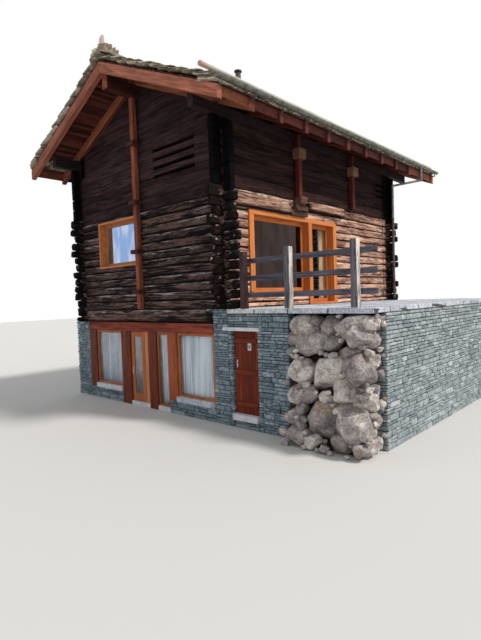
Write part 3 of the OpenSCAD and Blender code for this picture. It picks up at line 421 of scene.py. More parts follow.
def buildStoneGroup():
    group, given, result = newGroup(
        "stoneMottle",
        {"Place": None, "Tone": 0.5, "Deep": (0.1, 0.1, 0.1), "Middle": (0.3, 0.3, 0.3),
         "Pale": (0.6, 0.6, 0.6), "Stain": (0.3, 0.3, 0.2), "StainAmount": 0.3, "Size": 9.0},
        {"Colour": "Color", "Height": "Float"})
    place, size = given["Place"], given["Size"]
    coarse = noiseOf(group, place, size, 5.0, 0.62, 0.3)
    fine = noiseOf(group, stretched(group, place, 5.0, 5.0, 5.0), size, 6.0, 0.7)
    share = weighted(group, ramp(group, coarse, 0.3, 0.7), 0.45, given["Tone"], 0.55)
    lowHalf = blendColours(group, softRamp(group, share, 0.22, 0.5), given["Deep"], given["Middle"])
    colour = blendColours(group, softRamp(group, share, 0.5, 0.8), lowHalf, given["Pale"])
    stained = noiseOf(group, stretched(group, place, 0.35, 0.35, 0.35), size, 6.0, 0.7)
    edge = subtract(group, 0.72, times(group, given["StainAmount"], 0.3))
    colour = blendColours(group, ramp(group, stained, edge, add(group, edge, 0.12)), colour, given["Stain"])
    grit = greyOf(group, ramp(group, fine, 0.25, 0.75))
    group.links.new(blendColours(group, 0.8, colour, grit, "OVERLAY"), result["Colour"])
    group.links.new(weighted(group, coarse, 0.7, fine, 0.3), result["Height"])
    return group


groups = {"grain": buildGrainGroup(), "weatherAndLight": buildWeatherAndLightGroup(), "knots": buildKnotGroup(),
          "cracks": buildCheckGroup(), "stone": buildStoneGroup()}


def useGroup(tree, name, plugs):
    return put(tree, "ShaderNodeGroup", {"node_tree": groups[name]}, plugs).outputs


# Materials, kept under their names

skins = {}


def newSkin(name):
    skin = bpy.data.materials.new(name)
    skin.use_nodes = True
    tree = skin.node_tree
    skins[name] = skin
    return tree, tree.nodes["Principled BSDF"].inputs


def readAttribute(tree, name, output="Fac"):
    return put(tree, "ShaderNodeAttribute", {"attribute_name": name}).outputs[output]


def wire(tree, inputs, **sources):
    for key, source in sources.items():
        tree.links.new(source, inputs[key])


def emboss(tree, inputs, height, strength, depth):
    bump = put(tree, "ShaderNodeBump", None, {"Strength": strength, "Distance": depth, "Height": height})
    wire(tree, inputs, Normal=bump.outputs[0])


timberDefaults = {
    "ledge": 0.0, "underShade": (24, 19, 18), "underShadeAmount": 0.0, "ends": (60, 50, 46), "endAmount": 0.0,
    "glint": 0.0, "gloss": 0.2, "toneSpan": 0.5, "crackWidth": 0.012, "fineness": 34.0, "contrast": 0.55,
    "knots": 0.25, "roughness": (0.7, 0.92), "relief": 0.004,
}


def timberSkin(name, light, dark, silver, silverAmount, **changes):
    look = dict(timberDefaults, **changes)
    tree, inputs = newSkin(name)
    place = readAttribute(tree, "grain", "Vector")
    grain = useGroup(tree, "grain", {
        "Place": place, "Tone": readAttribute(tree, "tone"), "ToneSpan": look["toneSpan"],
        "Light": tint(*light), "Dark": tint(*dark), "Fineness": look["fineness"],
        "Contrast": look["contrast"]})
    weatheredAndLit = useGroup(tree, "weatherAndLight", {
        "Place": place, "Colour": grain["Colour"], "Silver": tint(*silver), "Amount": silverAmount,
        "CrownSilverAndHighlight": look["ledge"], "Crown": readAttribute(tree, "crown"), "WearAndShade": readAttribute(tree, "wearAndShade"),
        "UnderShade": tint(*look["underShade"]), "UnderShadeAmount": look["underShadeAmount"], "Ends": tint(*look["ends"]),
        "EndAmount": look["endAmount"], "Glint": look["glint"]})
    crack = useGroup(tree, "cracks", {"Place": place, "Width": look["crackWidth"]})["Mask"]
    knot = useGroup(tree, "knots", {"Place": place, "Share": look["knots"]})["Mask"]
    deep = (*(v * 0.3 for v in tint(*dark)[:3]), 1.0)
    knotted = blendColours(tree, times(tree, knot, 0.6), weatheredAndLit["Colour"], deep)
    smooth, rough = look["roughness"]
    wire(tree, inputs, **{"Base Color": blendColours(tree, crack, knotted, deep),
                          "Roughness": softRamp(tree, grain["Height"], 0.3, 0.7, rough, smooth)})
    inputs["Specular IOR Level"].default_value = look["gloss"]
    emboss(tree, inputs, subtract(tree, grain["Height"], crack), 0.9, look["relief"])


def stoneSkin(name, deep, middle, pale, stain, stainAmount=0.3, size=9.0, relief=0.006):
    tree, inputs = newSkin(name)
    stone = useGroup(tree, "stone", {
        "Place": readAttribute(tree, "grain", "Vector"), "Tone": readAttribute(tree, "tone"),
        "Deep": tint(*deep), "Middle": tint(*middle), "Pale": tint(*pale), "Stain": tint(*stain),
        "StainAmount": stainAmount, "Size": size})
    wire(tree, inputs, **{"Base Color": stone["Colour"],
                          "Roughness": softRamp(tree, stone["Height"], 0.3, 0.7, 0.95, 0.78)})
    inputs["Specular IOR Level"].default_value = 0.3
    emboss(tree, inputs, stone["Height"], 1.0, relief)


def cloudySkin(name, cloudAt, colour, other, edges, roughness, metallic):
    # Two colours in soft clouds, which also change the roughness
    tree, inputs = newSkin(name)
    cloud = cloudAt(tree, readAttribute(tree, "grain", "Vector"))
    mixed = blendColours(tree, softRamp(tree, cloud, *edges), tint(*colour), tint(*other))
    wire(tree, inputs, **{"Base Color": mixed, "Roughness": softRamp(tree, cloud, 0.35, 0.65, *roughness)})
    inputs["Metallic"].default_value = metallic
    return tree, inputs, cloud


def metalSkin(name, colour, dull, metallic, roughness=(0.35, 0.6), size=7.0):
    tree, inputs, cloud = cloudySkin(name, lambda tree, place: noiseOf(tree, place, size, 6.0, 0.65, 0.5),
                                     colour, dull, (0.4, 0.65), roughness, metallic)
    emboss(tree, inputs, cloud, 0.4, 0.001)


def paneSkin(name, colour, streak, metallic=0.0, cover=1.0, bend=1.45):
    # Metallic makes a tinted mirror that hides the room behind it; on such a pane the colour is a painted
    # reflection
    def cloudAt(tree, place):
        return noiseOf(tree, stretched(tree, place, 1.0, 1.0, 0.35), 2.2, 3.0, 0.5, 0.8)

    tree, inputs, cloud = cloudySkin(name, cloudAt, colour, streak, (0.42, 0.62), (0.02, 0.05), metallic)
    inputs["Transmission Weight"].default_value = 1.0
    inputs["IOR"].default_value = bend
    inputs["Alpha"].default_value = cover


def clothSkin(name, colour, shade):
    tree, inputs = newSkin(name)
    place = readAttribute(tree, "grain", "Vector")
    threads = noiseOf(tree, stretched(tree, place, 260.0, 260.0, 60.0), 1.0, 2.0)
    # painted fold shade: the cloth is darker in vertical streaks, laid on apart from the folds' shape
    paintedFoldStreaks = noiseOf(tree, stretched(tree, place, 15.0, 15.0, 0.5), 1.0, 3.0, 0.6)
    foldStreakShare = softRamp(tree, weighted(tree, threads, 0.2, paintedFoldStreaks, 0.8), 0.4, 0.58)
    wire(tree, inputs, **{"Base Color": blendColours(tree, foldStreakShare, tint(*shade), tint(*colour))})
    inputs["Roughness"].default_value = 0.9
    inputs["Sheen Weight"].default_value = 0.25
    emboss(tree, inputs, threads, 0.3, 0.0006)


# logs: full painted shade on their undersides
hewnLog = {"underShadeAmount": 1.0, "relief": 0.009, "gloss": 0.08}
# planks: near-black ends, painted shadow of the eave and the corners
hewnPlank = {"contrast": 1.0, "endAmount": 1.0, "gloss": 0.05}
sawn = {"crackWidth": 0.006, "contrast": 0.8, "relief": 0.002}
planed = dict(sawn, roughness=(0.55, 0.8))
post = {"crackWidth": 0.005, "contrast": 0.7, "roughness": (0.45, 0.7), "relief": 0.0015}
joinery = {"crackWidth": 0.003, "fineness": 60.0, "roughness": (0.4, 0.6), "relief": 0.001, "knots": 0.1}
greyRail = {"roughness": (0.75, 0.95), "contrast": 0.9, "crackWidth": 0.02}

# Light and dark grain, silver and its share (silver is weathering, and also the colour of painted highlights and
# glints), and what differs from the defaults above
timbers = {
    # Log walls in two painted light levels: a darker copy for the walls in shade, a pale copy for the sunlit
    # terrace wall
    "shadePaintedLogWood": ((94, 73, 66), (21, 16, 18), (168, 163, 164), 0.48,
                     dict(hewnLog, ledge=0.16, underShade=(10, 8, 8), contrast=1.4, crackWidth=0.034,
                          toneSpan=1.0, ends=(20, 16, 16), endAmount=0.95, glint=0.9)),
    "sunPaintedLogWood": ((228, 180, 154), (108, 72, 59), (232, 212, 196), 0.5,
                     dict(hewnLog, ledge=0.08, underShade=(24, 17, 14), contrast=1.25, crackWidth=0.03,
                          toneSpan=0.8, ends=(24, 18, 18), endAmount=1.0, glint=1.0)),
    "darkPlankWood": ((70, 50, 51), (28, 20, 22), (110, 94, 94), 0.16,
                      dict(hewnPlank, underShadeAmount=0.3, underShade=(15, 11, 13), ends=(10, 8, 11), knots=0.5)),
    # terrace wall planks darkened: painted shadow of the eave
    "eaveShadowPlankWood": ((62, 43, 41), (22, 16, 17), (104, 80, 74), 0.2,
                         dict(hewnPlank, underShadeAmount=0.4, underShade=(16, 11, 11), toneSpan=0.6, ends=(10, 8, 10),
                              knots=0.4)),
    "jointPacking": ((30, 24, 22), (14, 11, 11), (52, 44, 40), 0.1, {}),
    "darkPurlin": ((78, 37, 30), (40, 20, 17), (104, 62, 50), 0.12, {}),
    "bargeLarch": ((184, 114, 90), (104, 58, 46), (206, 146, 120), 0.24, dict(planed, crackWidth=0.008)),
    "rafterLarch": ((160, 98, 68), (88, 46, 34), (176, 122, 92), 0.15, planed),
    # eave rafters darker than the other rafters: painted shade under the roof
    "eaveShadowLarch": ((102, 48, 38), (52, 25, 21), (130, 80, 62), 0.14, dict(planed, toneSpan=0.9)),
    # soffit boards darkened: painted shade under the roof
    "shadedSoffitBoards": ((104, 49, 38), (42, 20, 17), (126, 70, 52), 0.12,
                     dict(sawn, toneSpan=1.4, roughness=(0.6, 0.85))),
    "gableBinderLarch": ((152, 88, 64), (78, 38, 28), (180, 118, 88), 0.24,
                         dict(sawn, crackWidth=0.008, contrast=0.9)),
    "sideBinderLarch": ((100, 38, 31), (50, 21, 18), (150, 84, 64), 0.12, sawn),
    "lintelLarch": ((144, 67, 51), (80, 34, 27), (150, 92, 74), 0.22,
                    dict(sawn, crackWidth=0.01, contrast=1.0)),
    "redPost": ((120, 51, 28), (59, 23, 12), (140, 74, 48), 0.12, post),
    "midPost": ((164, 84, 46), (98, 46, 24), (176, 106, 74), 0.12, post),
    "palePost": ((204, 136, 90), (152, 90, 56), (214, 152, 108), 0.15,
                 dict(post, crackWidth=0.004, contrast=0.55)),
    "windowLarch": ((176, 106, 62), (122, 66, 38), (196, 132, 90), 0.15, joinery),
    "gableFrameLarch": ((202, 134, 82), (150, 90, 52), (220, 162, 114), 0.15, joinery),
    "freshLarch": ((216, 134, 70), (166, 90, 42), (240, 176, 118), 0.15, dict(joinery, knots=0.12)),
    # near-black wall plates
    "darkBeam": ((48, 34, 33), (22, 16, 17), (84, 68, 66), 0.15, {}),
    "corbelWood": ((124, 88, 70), (62, 42, 34), (160, 128, 108), 0.3, {"contrast": 0.9}),
    "clampWood": ((78, 42, 36), (40, 22, 20), (112, 76, 62), 0.2, {}),
    "paleClampWood": ((132, 98, 78), (84, 56, 44), (176, 150, 126), 0.35, {}),
    "greyFence": ((122, 119, 131), (66, 63, 73), (170, 166, 168), 0.4, greyRail),
    # a grey post's crown side faces +X: the pale silver there is a painted highlight
    "greyFencePost": ((124, 120, 128), (68, 65, 72), (226, 218, 208), 0.2, dict(greyRail, ledge=0.3)),
    "darkFencePost": ((84, 64, 62), (44, 34, 34), (118, 104, 100), 0.3,
                      {"contrast": 0.8, "crackWidth": 0.02}),
    "peeledPole": ((206, 204, 190), (150, 146, 132), (222, 222, 214), 0.5,
                   {"fineness": 26.0, "ends": (196, 150, 132), "endAmount": 0.9}),
    "floorBoards": ((170, 132, 96), (122, 88, 60), (180, 150, 120), 0.1, {"relief": 0.001}),
    "cellarDoorWood": ((134, 52, 22), (60, 21, 10), (166, 80, 40), 0.14,
                       {"crackWidth": 0.006, "roughness": (0.5, 0.75), "relief": 0.0015, "toneSpan": 0.7}),
}

# Deep, middle and pale tone, stain, and share of the stain, size of the mottle, relief
stones = {
    "rubbleStone": ((80, 95, 104), (118, 134, 143), (168, 182, 189), (96, 106, 102), 0.35, 11.0, 0.012),
    "darkJoint": ((50, 57, 61), (72, 80, 84), (98, 106, 107), (66, 71, 65), 0.3, 24.0),
    "terraceStone": ((112, 122, 126), (146, 155, 157), (190, 195, 194), (122, 124, 114)),
    "paleSlab": ((160, 164, 174), (190, 193, 202), (214, 215, 218), (152, 152, 146), 0.25, 5.0, 0.003),
    "boulderStone": ((104, 97, 99), (152, 143, 141), (212, 204, 196), (158, 134, 104), 0.45, 4.5, 0.03),
    "darkEarth": ((34, 29, 25), (56, 47, 38), (86, 72, 55), (70, 72, 46), 0.4, 12.0),
    "roofSlab": ((84, 76, 64), (136, 125, 108), (204, 194, 176), (122, 112, 84), 0.35, 5.0),
    "ridgeHeap": ((112, 98, 84), (166, 150, 134), (226, 214, 200), (124, 104, 78), 0.3, 6.0),
    "capStone": ((172, 150, 142), (204, 184, 176), (226, 214, 206), (160, 142, 122), 0.25, 6.0),
}

# Bright and dull colour, share of metal, roughness, size of the clouds
metals = {
    "weatheredZinc": ((118, 118, 108), (82, 82, 76), 0.45),
    "downpipeZinc": ((132, 136, 140), (92, 95, 98), 0.5),
    "darkSheet": ((96, 88, 86), (62, 54, 52), 0.4),
    "brushedSteel": ((186, 188, 190), (140, 142, 146), 0.9, (0.25, 0.4), 30.0),
}

# Colour and streaks, share of mirror, cover, and how much the glass bends light
panes = {
    "clearPane": ((236, 242, 246), (226, 234, 240), 0.0, 0.35),
    # painted reflection: blue sky in the gable window
    "skyReflectionPane": ((150, 184, 234), (214, 224, 246), 0.75),
    # painted reflection: the dim room behind the terrace window
    "darkReflectionPane": ((66, 48, 42), (46, 34, 30), 0.75),
    "doorPane": ((206, 190, 176), (186, 168, 152), 0.0, 0.4, 1.1),
    # painted reflection: grey haze in the front door's glass
    "hazyReflectionPane": ((176, 174, 180), (150, 148, 156), 0.5),
}

# Colour of the cloth, and its darker colour in the painted fold shade
cloths = {
    "whiteCurtain": ((222, 234, 246), (148, 166, 184)),
    "greyCurtain": ((186, 202, 216), (112, 130, 150)),
    "sandCurtain": ((246, 224, 194), (196, 164, 130)),
}

for name, (light, dark, silver, amount, changes) in timbers.items():
    timberSkin(name, light, dark, silver, amount, **changes)
for makeSkin, table in ((stoneSkin, stones), (metalSkin, metals), (paneSkin, panes), (clothSkin, cloths)):
    for name, look in table.items():
        makeSkin(name, *look)
print("materials made", len(skins))


# CAD nodes that keep their shape get a grain along their timbers, soft edges and a material

def solidNumbers(mesh):
    # The number of the solid that each vertex belongs to, joined where vertices share a place
    places = {}
    parent = list(range(len(mesh.vertices)))

    def root(i):
        while parent[i] != i:
            parent[i] = parent[parent[i]]
            i = parent[i]
        return i

    for v in mesh.vertices:
        key = tuple(round(c, 4) for c in v.co)
        if key in places:
            parent[root(v.index)] = root(places[key])
        places[key] = v.index
    for p in mesh.polygons:
        for other in p.vertices[1:]:
            parent[root(other)] = root(p.vertices[0])
    roots = [root(i) for i in range(len(parent))]
    names = {r: n for n, r in enumerate(sorted(set(roots)))}
    return np.array([names[r] for r in roots])


def dressNode(nodeName, skinNames, bevel=0.006, axis=0, choose=None, slope=0.0):
    # axis is the way the grain runs, None for each solid's longest way; slope tilts it down from the ridge
    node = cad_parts[nodeName]
    mesh = node.data
    co = np.array([v.co[:] for v in mesh.vertices])
    solid = solidNumbers(mesh)
    grain = co.copy()
    if slope:
        grain[:, 0] = np.abs(co[:, 0]) / math.cos(math.atan(slope))
        grain[:, 2] = co[:, 2] + slope * np.abs(co[:, 0])
    for n in range(solid.max() + 1):
        mine = solid == n
        k = int(np.argmax(np.ptp(co[mine], axis=0))) if axis is None else axis
        grain[mine] = grain[mine][:, [k, (k + 1) % 3, (k + 2) % 3]]
    grain = grain + solid[:, None] * np.array([1.93, 0.37, 0.71])
    putAttribute(mesh, "grain", grain)
    putAttribute(mesh, "tone", (hashCells(np.stack([solid, solid * 3 + 1, solid * 0], axis=-1), 21) + 1) / 2)
    putAttribute(mesh, "wearAndShade", np.zeros(len(co)))
    mesh.materials.clear()
    for skinName in skinNames:
        mesh.materials.append(skins[skinName])
    if choose:
        for p in mesh.polygons:
            p.material_index = choose(p.center)
    if bevel:
        weld = node.modifiers.new("weld", "WELD")
        weld.merge_threshold = 0.00005
        soften = node.modifiers.new("softEdges", "BEVEL")
        soften.width = bevel
        soften.segments = 2
        soften.limit_method = "ANGLE"
        soften.angle_limit = math.radians(40)
        soften.harden_normals = False


# House sizes from the frame

frontLogs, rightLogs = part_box("front_log_wall"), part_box("right_log_wall")
wall = {
    "hw": rightLogs[1].x, "hl": -frontLogs[0].y, "logT": rightLogs[1].x - rightLogs[0].x,
    "foot": frontLogs[0].z - 0.004, "terraceZ": rightLogs[0].z, "logH": 0.23, "plankH": 0.32,
    "courses": 12, "plankCourses": 11, "plankBack": 0.025, "plankT": 0.15, "endMin": 0.24, "endMax": 0.43,
    "plankEnd": 0.25,
    "ridgeUnder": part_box("ridge_purlin")[1].z, "plateZ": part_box("left_plank_wall")[1].z,
    "gableStep": 0.035, "gableStepZ": 7.6,
}
roof = {
    "slope": math.tan(math.radians(24.4)), "run": 0.3918, "slabT": 0.06, "nose": 0.19, "courses": 11,
    "front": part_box("stone_roof")[0].y, "back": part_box("stone_roof")[1].y, "eave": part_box("stone_roof")[1].x,
    "under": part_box("roof_boards")[1].z,
}
logTop = wall["terraceZ"] + wall["courses"] * wall["logH"]
frontLevels = [wall["foot"]] + [wall["terraceZ"] + i * wall["logH"] for i in range(wall["courses"] + 1)]
frontLevels += [logTop + i * wall["plankH"] for i in range(1, wall["plankCourses"] + 1)]
sideLevels = [wall["foot"]] + [(a + b) / 2 for a, b in zip(frontLevels, frontLevels[1:])]

placeOn = {
    "front": lambda s, out, z: stack3(s, -wall["hl"] - out, z),
    "back": lambda s, out, z: stack3(s, wall["hl"] + out, z),
    "right": lambda s, out, z: stack3(wall["hw"] + out, s, z),
    "left": lambda s, out, z: stack3(-wall["hw"] - out, s, z),
}

logLook = {"points": 22, "square": 0.62, "wave": 0.016, "rough": 0.008, "groove": 0.009, "step": 0.075,
           "tip": 0.08, "tipLoss": 0.42, "sway": 0.010, "ragged": 0.06, "endWearAndShade": 1.0, "endRough": 1.5,
           "shrink": 0.004}
# longer dark ends on the terrace wall: painted shade near the corner
sunLogLook = dict(logLook, square=0.5, wave=0.012, groove=0.010, tipLoss=0.4, endLong=0.5)
plankLook = {"points": 16, "square": 0.18, "wave": 0.006, "rough": 0.003, "groove": 0.004, "step": 0.15,
             "tip": 0.03, "tipLoss": 0.2, "sway": 0.004, "ragged": 0.03, "endWearAndShade": 1.0, "endRough": 1.0}
# the terrace wall's planks darken far from their ends: painted shadow of the eave near the corner
sunPlankLook = dict(plankLook, endLong=0.85)

gableBox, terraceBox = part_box("gable_window"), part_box("terrace_window")
gableHole = (gableBox[0].x, gableBox[1].x, gableBox[0].z, gableBox[1].z)
terraceHole = (terraceBox[0].y, terraceBox[1].y, terraceBox[0].z, terraceBox[1].z)
# two log courses run on under the big pane, and only the door reaches the terrace
paneFoot, paneLong = 3.145, 2.56
doorHole = (terraceBox[0].y + paneLong, terraceBox[1].y, terraceBox[0].z, paneFoot)
bothRound = (True, True)


def splitByHole(span, rise, hole):
    # Spans left beside a hole, and a cut where the hole takes only part of the course
    a, b = span
    low, high = rise
    h0, h1, z0, z1 = hole
    part, room = 0.05, 0.002
    if high <= z0 or low >= z1:
        return [(a, b, bothRound)], []
    if low < z0 - part:
        return [(a, b, bothRound)], [(h0, h1, low - 1, z0 - room)]
    if high > z1 + part:
        return [(a, b, bothRound)], [(h0, h1, z1 + room, high + 1)]
    return [(a, h0, (True, False)), (h1, b, (False, True))], []


def cornerCuts(halfLong, low, high, lapLow, lapHigh):
    inner, outer = halfLong - wall["logT"], halfLong
    return [(inner, outer, low + lapLow, high - lapHigh), (-outer, -inner, low + lapLow, high - lapHigh)]


# Packing in the joints, so that no daylight shows between the timbers

packing = {"logs": (-0.13, -0.06), "planks": (-0.135, -0.075), "inset": 0.06, "edge": 0.02}


def aroundHole(span, rise, hole):
    # The rectangles of a wall that are left round a hole
    a, b = span
    low, high = rise
    if not hole:
        return [(a, b, low, high)]
    h0, h1, z0, z1 = hole
    parts = [(a, h0, low, high), (h1, b, low, high), (h0, h1, low, z0), (h0, h1, z1, high)]
    return [p for p in parts if p[1] > p[0] + 0.01 and p[3] > p[2] + 0.01]


def addPacking(heap, side, parts, depths):
    for a, b, low, high in parts:
        p = placeOn[side](np.array(a), np.array(depths[0]), np.array(low))
        q = placeOn[side](np.array(b), np.array(depths[1]), np.array(high))
        addBlocks(heap, np.minimum(p, q), np.maximum(p, q), bevel=0.002, tones=[0.2], skin=1)


def logWall(side, seed):
    heap = newHeap()
    dice = random.Random(seed)
    gable = side in ("front", "back")
    halfLong = wall["hw"] if gable else wall["hl"]
    levels = frontLevels[:wall["courses"] + 2] if gable else sideLevels[:wall["courses"] + 3]
    steps = [b - a for a, b in zip(frontLevels, frontLevels[1:])]
    hole = gableHole if side == "front" else None
    sunny = side == "right"
    for i, (low, high) in enumerate(zip(levels, levels[1:])):
        if sunny:
            if high <= wall["terraceZ"]:
                continue
            low = max(low, wall["terraceZ"])
            hole = doorHole if high < paneFoot + 0.01 else terraceHole
        # the ends, between the shortest and the longest past the corner
        left = halfLong + dice.uniform(wall["endMin"], wall["endMax"])
        right = halfLong + dice.uniform(wall["endMin"], wall["endMax"])
        if gable:
            lapLow = lapHigh = (high - low) / 4
            if i == 0:
                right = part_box("lintel_beam")[1].x
        else:
            lapLow = 0 if i == 0 else steps[i - 1] / 4
            lapHigh = steps[i] / 4
        span = (-left, right)
        spans, cuts = splitByHole(span, (low, high), hole) if hole else ([(*span, bothRound)], [])
        cuts = cuts + cornerCuts(halfLong, low, high, lapLow, lapHigh)
        for k, (a, b, ends) in enumerate(spans):
            # the courses near the foot are paler
            hewn(heap, (a, b), (low, high), wall["logT"], placeOn[side], sunLogLook if sunny else logLook,
                 seed * 100 + i * 3 + k, cuts=cuts, roundEnds=ends,
                 tone=min(dice.uniform(0.1, 0.75) + max(0.0, 0.8 - 0.22 * i), 1.1))
    foot = (wall["terraceZ"] if sunny else levels[0]) + packing["edge"]
    inner = halfLong - packing["inset"]
    parts = aroundHole((-inner, inner), (foot, levels[-1] - packing["edge"]), terraceHole if sunny else hole)
    if sunny:
        parts = [p for p in parts if p[3] > 3] + [(terraceHole[0], doorHole[0], foot, paneFoot - 0.01)]
    addPacking(heap, side, parts, packing["logs"])
    makePiece(heap, side + "HewnLogs", ["sunPaintedLogWood" if sunny else "shadePaintedLogWood", "jointPacking"],
              side + "_log_wall")


for side, seed in (("front", 3), ("back", 5), ("left", 7), ("right", 9)):
    logWall(side, seed)
print("log walls laid")


# Plank walls above the logs. Slots lie at the joints between planks.

vents = {"span": (0.665, 2.355), "firstZ": logTop + 0.78, "pitch": 0.23, "high": 0.10, "count": 4}
slots = {"span": (3.45, 4.07), "firstZ": logTop + 0.89, "pitch": 0.19, "high": 0.08, "count": 3}


def slotCuts(holes, low, high):
    # One cut at the foot or top of a plank, or at both, for the slots whose middle is at that joint
    keep = [-99.0, 99.0]
    for n in range(holes["count"]):
        z0 = holes["firstZ"] + n * holes["pitch"]
        z1 = z0 + holes["high"]
        if abs((z0 + z1) / 2 - low) < 0.01:
            keep[0] = z1
        if abs((z0 + z1) / 2 - high) < 0.01:
            keep[1] = z0
    return [] if keep == [-99.0, 99.0] else [(*holes["span"], *keep)]


def underRoof(z):
    # How far a plank may reach at each height below the roof's slope
    return np.maximum((wall["ridgeUnder"] - 0.004 - z) / roof["slope"], 0.05)


def plankWall(side, seed):
    heap = newHeap()
    gable, sunny = side in ("front", "back"), side == "right"
    halfLong = wall["hw"] if gable else wall["hl"]
    base = frontLevels[wall["courses"] + 1:] if gable else sideLevels[wall["courses"] + 2:]
    ceiling = wall["ridgeUnder"] - 0.03 if gable else wall["plateZ"]
    levels = [z for z in base if z < ceiling - 0.05] + [ceiling]
    holes, hole = {"front": vents, "right": slots}.get(side), None
    if holes:
        joints = [holes["firstZ"] + n * holes["pitch"] + holes["high"] / 2 for n in range(holes["count"])]
        levels = sorted([z for z in levels if z < joints[0] - 0.12 or z > joints[-1] + 0.12] + joints)
        first = holes["firstZ"] - 0.02
        hole = (*holes["span"], first, first + (holes["count"] - 1) * holes["pitch"] + holes["high"] + 0.04)
    full, inner = halfLong + wall["plankEnd"], halfLong - wall["logT"]
    for i, (foot, top) in enumerate(zip(levels, levels[1:])):
        low, high = foot + 0.001, top - 0.001
        inGable = gable and low > wall["plateZ"] - 0.3
        back = wall["plankBack"] + (wall["gableStep"] if gable and low > wall["gableStepZ"] else 0)
        span = (-inner, inner) if inGable else (-full, full)
        spans, cuts = [(*span, bothRound)], []
        if side == "front" and low < gableHole[3]:
            spans, cuts = splitByHole(span, (low, high), gableHole)
        if holes:
            cuts = cuts + slotCuts(holes, foot, top)
        if not inGable:
            lap = (high - low) / 4
            cuts = cuts + cornerCuts(halfLong, low, high, lap, lap)

        def place(s, out, z, back=back):
            return placeOn[side](s, out - back, z)

        for k, (a, b, ends) in enumerate(spans):
            hewn(heap, (a, b), (low, high), wall["plankT"], place, sunPlankLook if sunny else plankLook,
                 seed * 100 + i * 3 + k, cuts=cuts, roundEnds=ends, limit=underRoof if inGable else None)
    inner = halfLong - packing["inset"]
    top = wall["plateZ"] - packing["edge"]
    parts = aroundHole((-inner, inner), (levels[0] + packing["edge"], top), hole)
    addPacking(heap, side, parts, packing["planks"])
    if gable:
        # the packing's triangle under the roof
        corners = [(-inner, top), (inner, top), (0.0, ceiling - 0.06)]
        co = [placeOn[side](np.array(s), np.array(out), np.array(z))
              for out in packing["planks"] for s, z in corners]
        tris = np.array([[0, 1, 2], [3, 5, 4]])
        addPart(heap, co, [tris, np.array([[0, 3, 4, 1], [1, 4, 5, 2], [2, 5, 3, 0]])], tone=0.2, skin=1)
    makePiece(heap, side + "HewnPlanks", ["eaveShadowPlankWood" if sunny else "darkPlankWood", "jointPacking"],
              side + "_plank_wall")


for side, seed in (("front", 13), ("back", 15), ("left", 17), ("right", 19)):
    plankWall(side, seed)
print("plank walls laid")


# Logs over the terrace window, and the stepped corbel between them

hoodLook = {"points": 18, "square": 0.8, "wave": 0.02, "rough": 0.006, "groove": 0.005, "step": 0.09,
            "tip": 0.09, "tipLoss": 0.35, "sway": 0.01, "ragged": 0.03, "endWearAndShade": 0.4}
corbelLook = dict(hoodLook, square=0.35, step=0.07, tip=0.05, ragged=0.015)
# logs and corbel: spans along the wall with foot and top; steps: inset, depth and height
hood = {"logs": ((-4.105, -1.725, 5.262, 5.60), (-0.935, 1.075, 5.462, 5.74)), "out": 0.125, "in": -0.03,
        "corbel": (-1.72, -0.94, 5.262),
        "steps": ((0.0, 0.12, 0.15), (0.11, 0.19, 0.15), (0.22, 0.26, 0.228))}


def outOfWall(deep, most):
    # kept just off the log wall, and no further out than most
    return lambda s, out, z: stack3(wall["hw"] + np.clip(out + deep, 0.001, most), s, z)


def hangHoodLogs():
    heap = newHeap()
    for n, (a, b, low, high) in enumerate(hood["logs"]):
        hewn(heap, (a, b), (low, high), hood["out"] - hood["in"], outOfWall(hood["out"], None), hoodLook,
             71 + n)
    a, b, z = hood["corbel"]
    for n, (inset, deep, tall) in enumerate(hood["steps"]):
        hewn(heap, (a + inset, b - inset), (z + 0.001, z + tall - 0.001), deep, outOfWall(deep, deep),
             corbelLook, 81 + n, skin=1)
        z += tall
    makePiece(heap, "terraceHoodLogs", ["sunPaintedLogWood", "corbelWood"], "cover_logs")


hangHoodLogs()


# Masonry of thin rubble courses: a dark core, and stones on the faces that show

rubble = {"course": (0.05, 0.14), "length": (0.12, 0.46), "depth": 0.13, "joint": 0.004, "core": 0.05,
          "sink": 0.02, "bevel": 0.011, "jitter": 0.011, "splitFrom": 0.09, "splitChance": 0.4}


def courseLevels(dice, low, high):
    levels = [low]
    while levels[-1] < high - 1e-6:
        step = dice.uniform(*rubble["course"])
        rest = high - levels[-1]
        levels.append(high if rest < step + rubble["course"][0] else levels[-1] + step)
    return levels


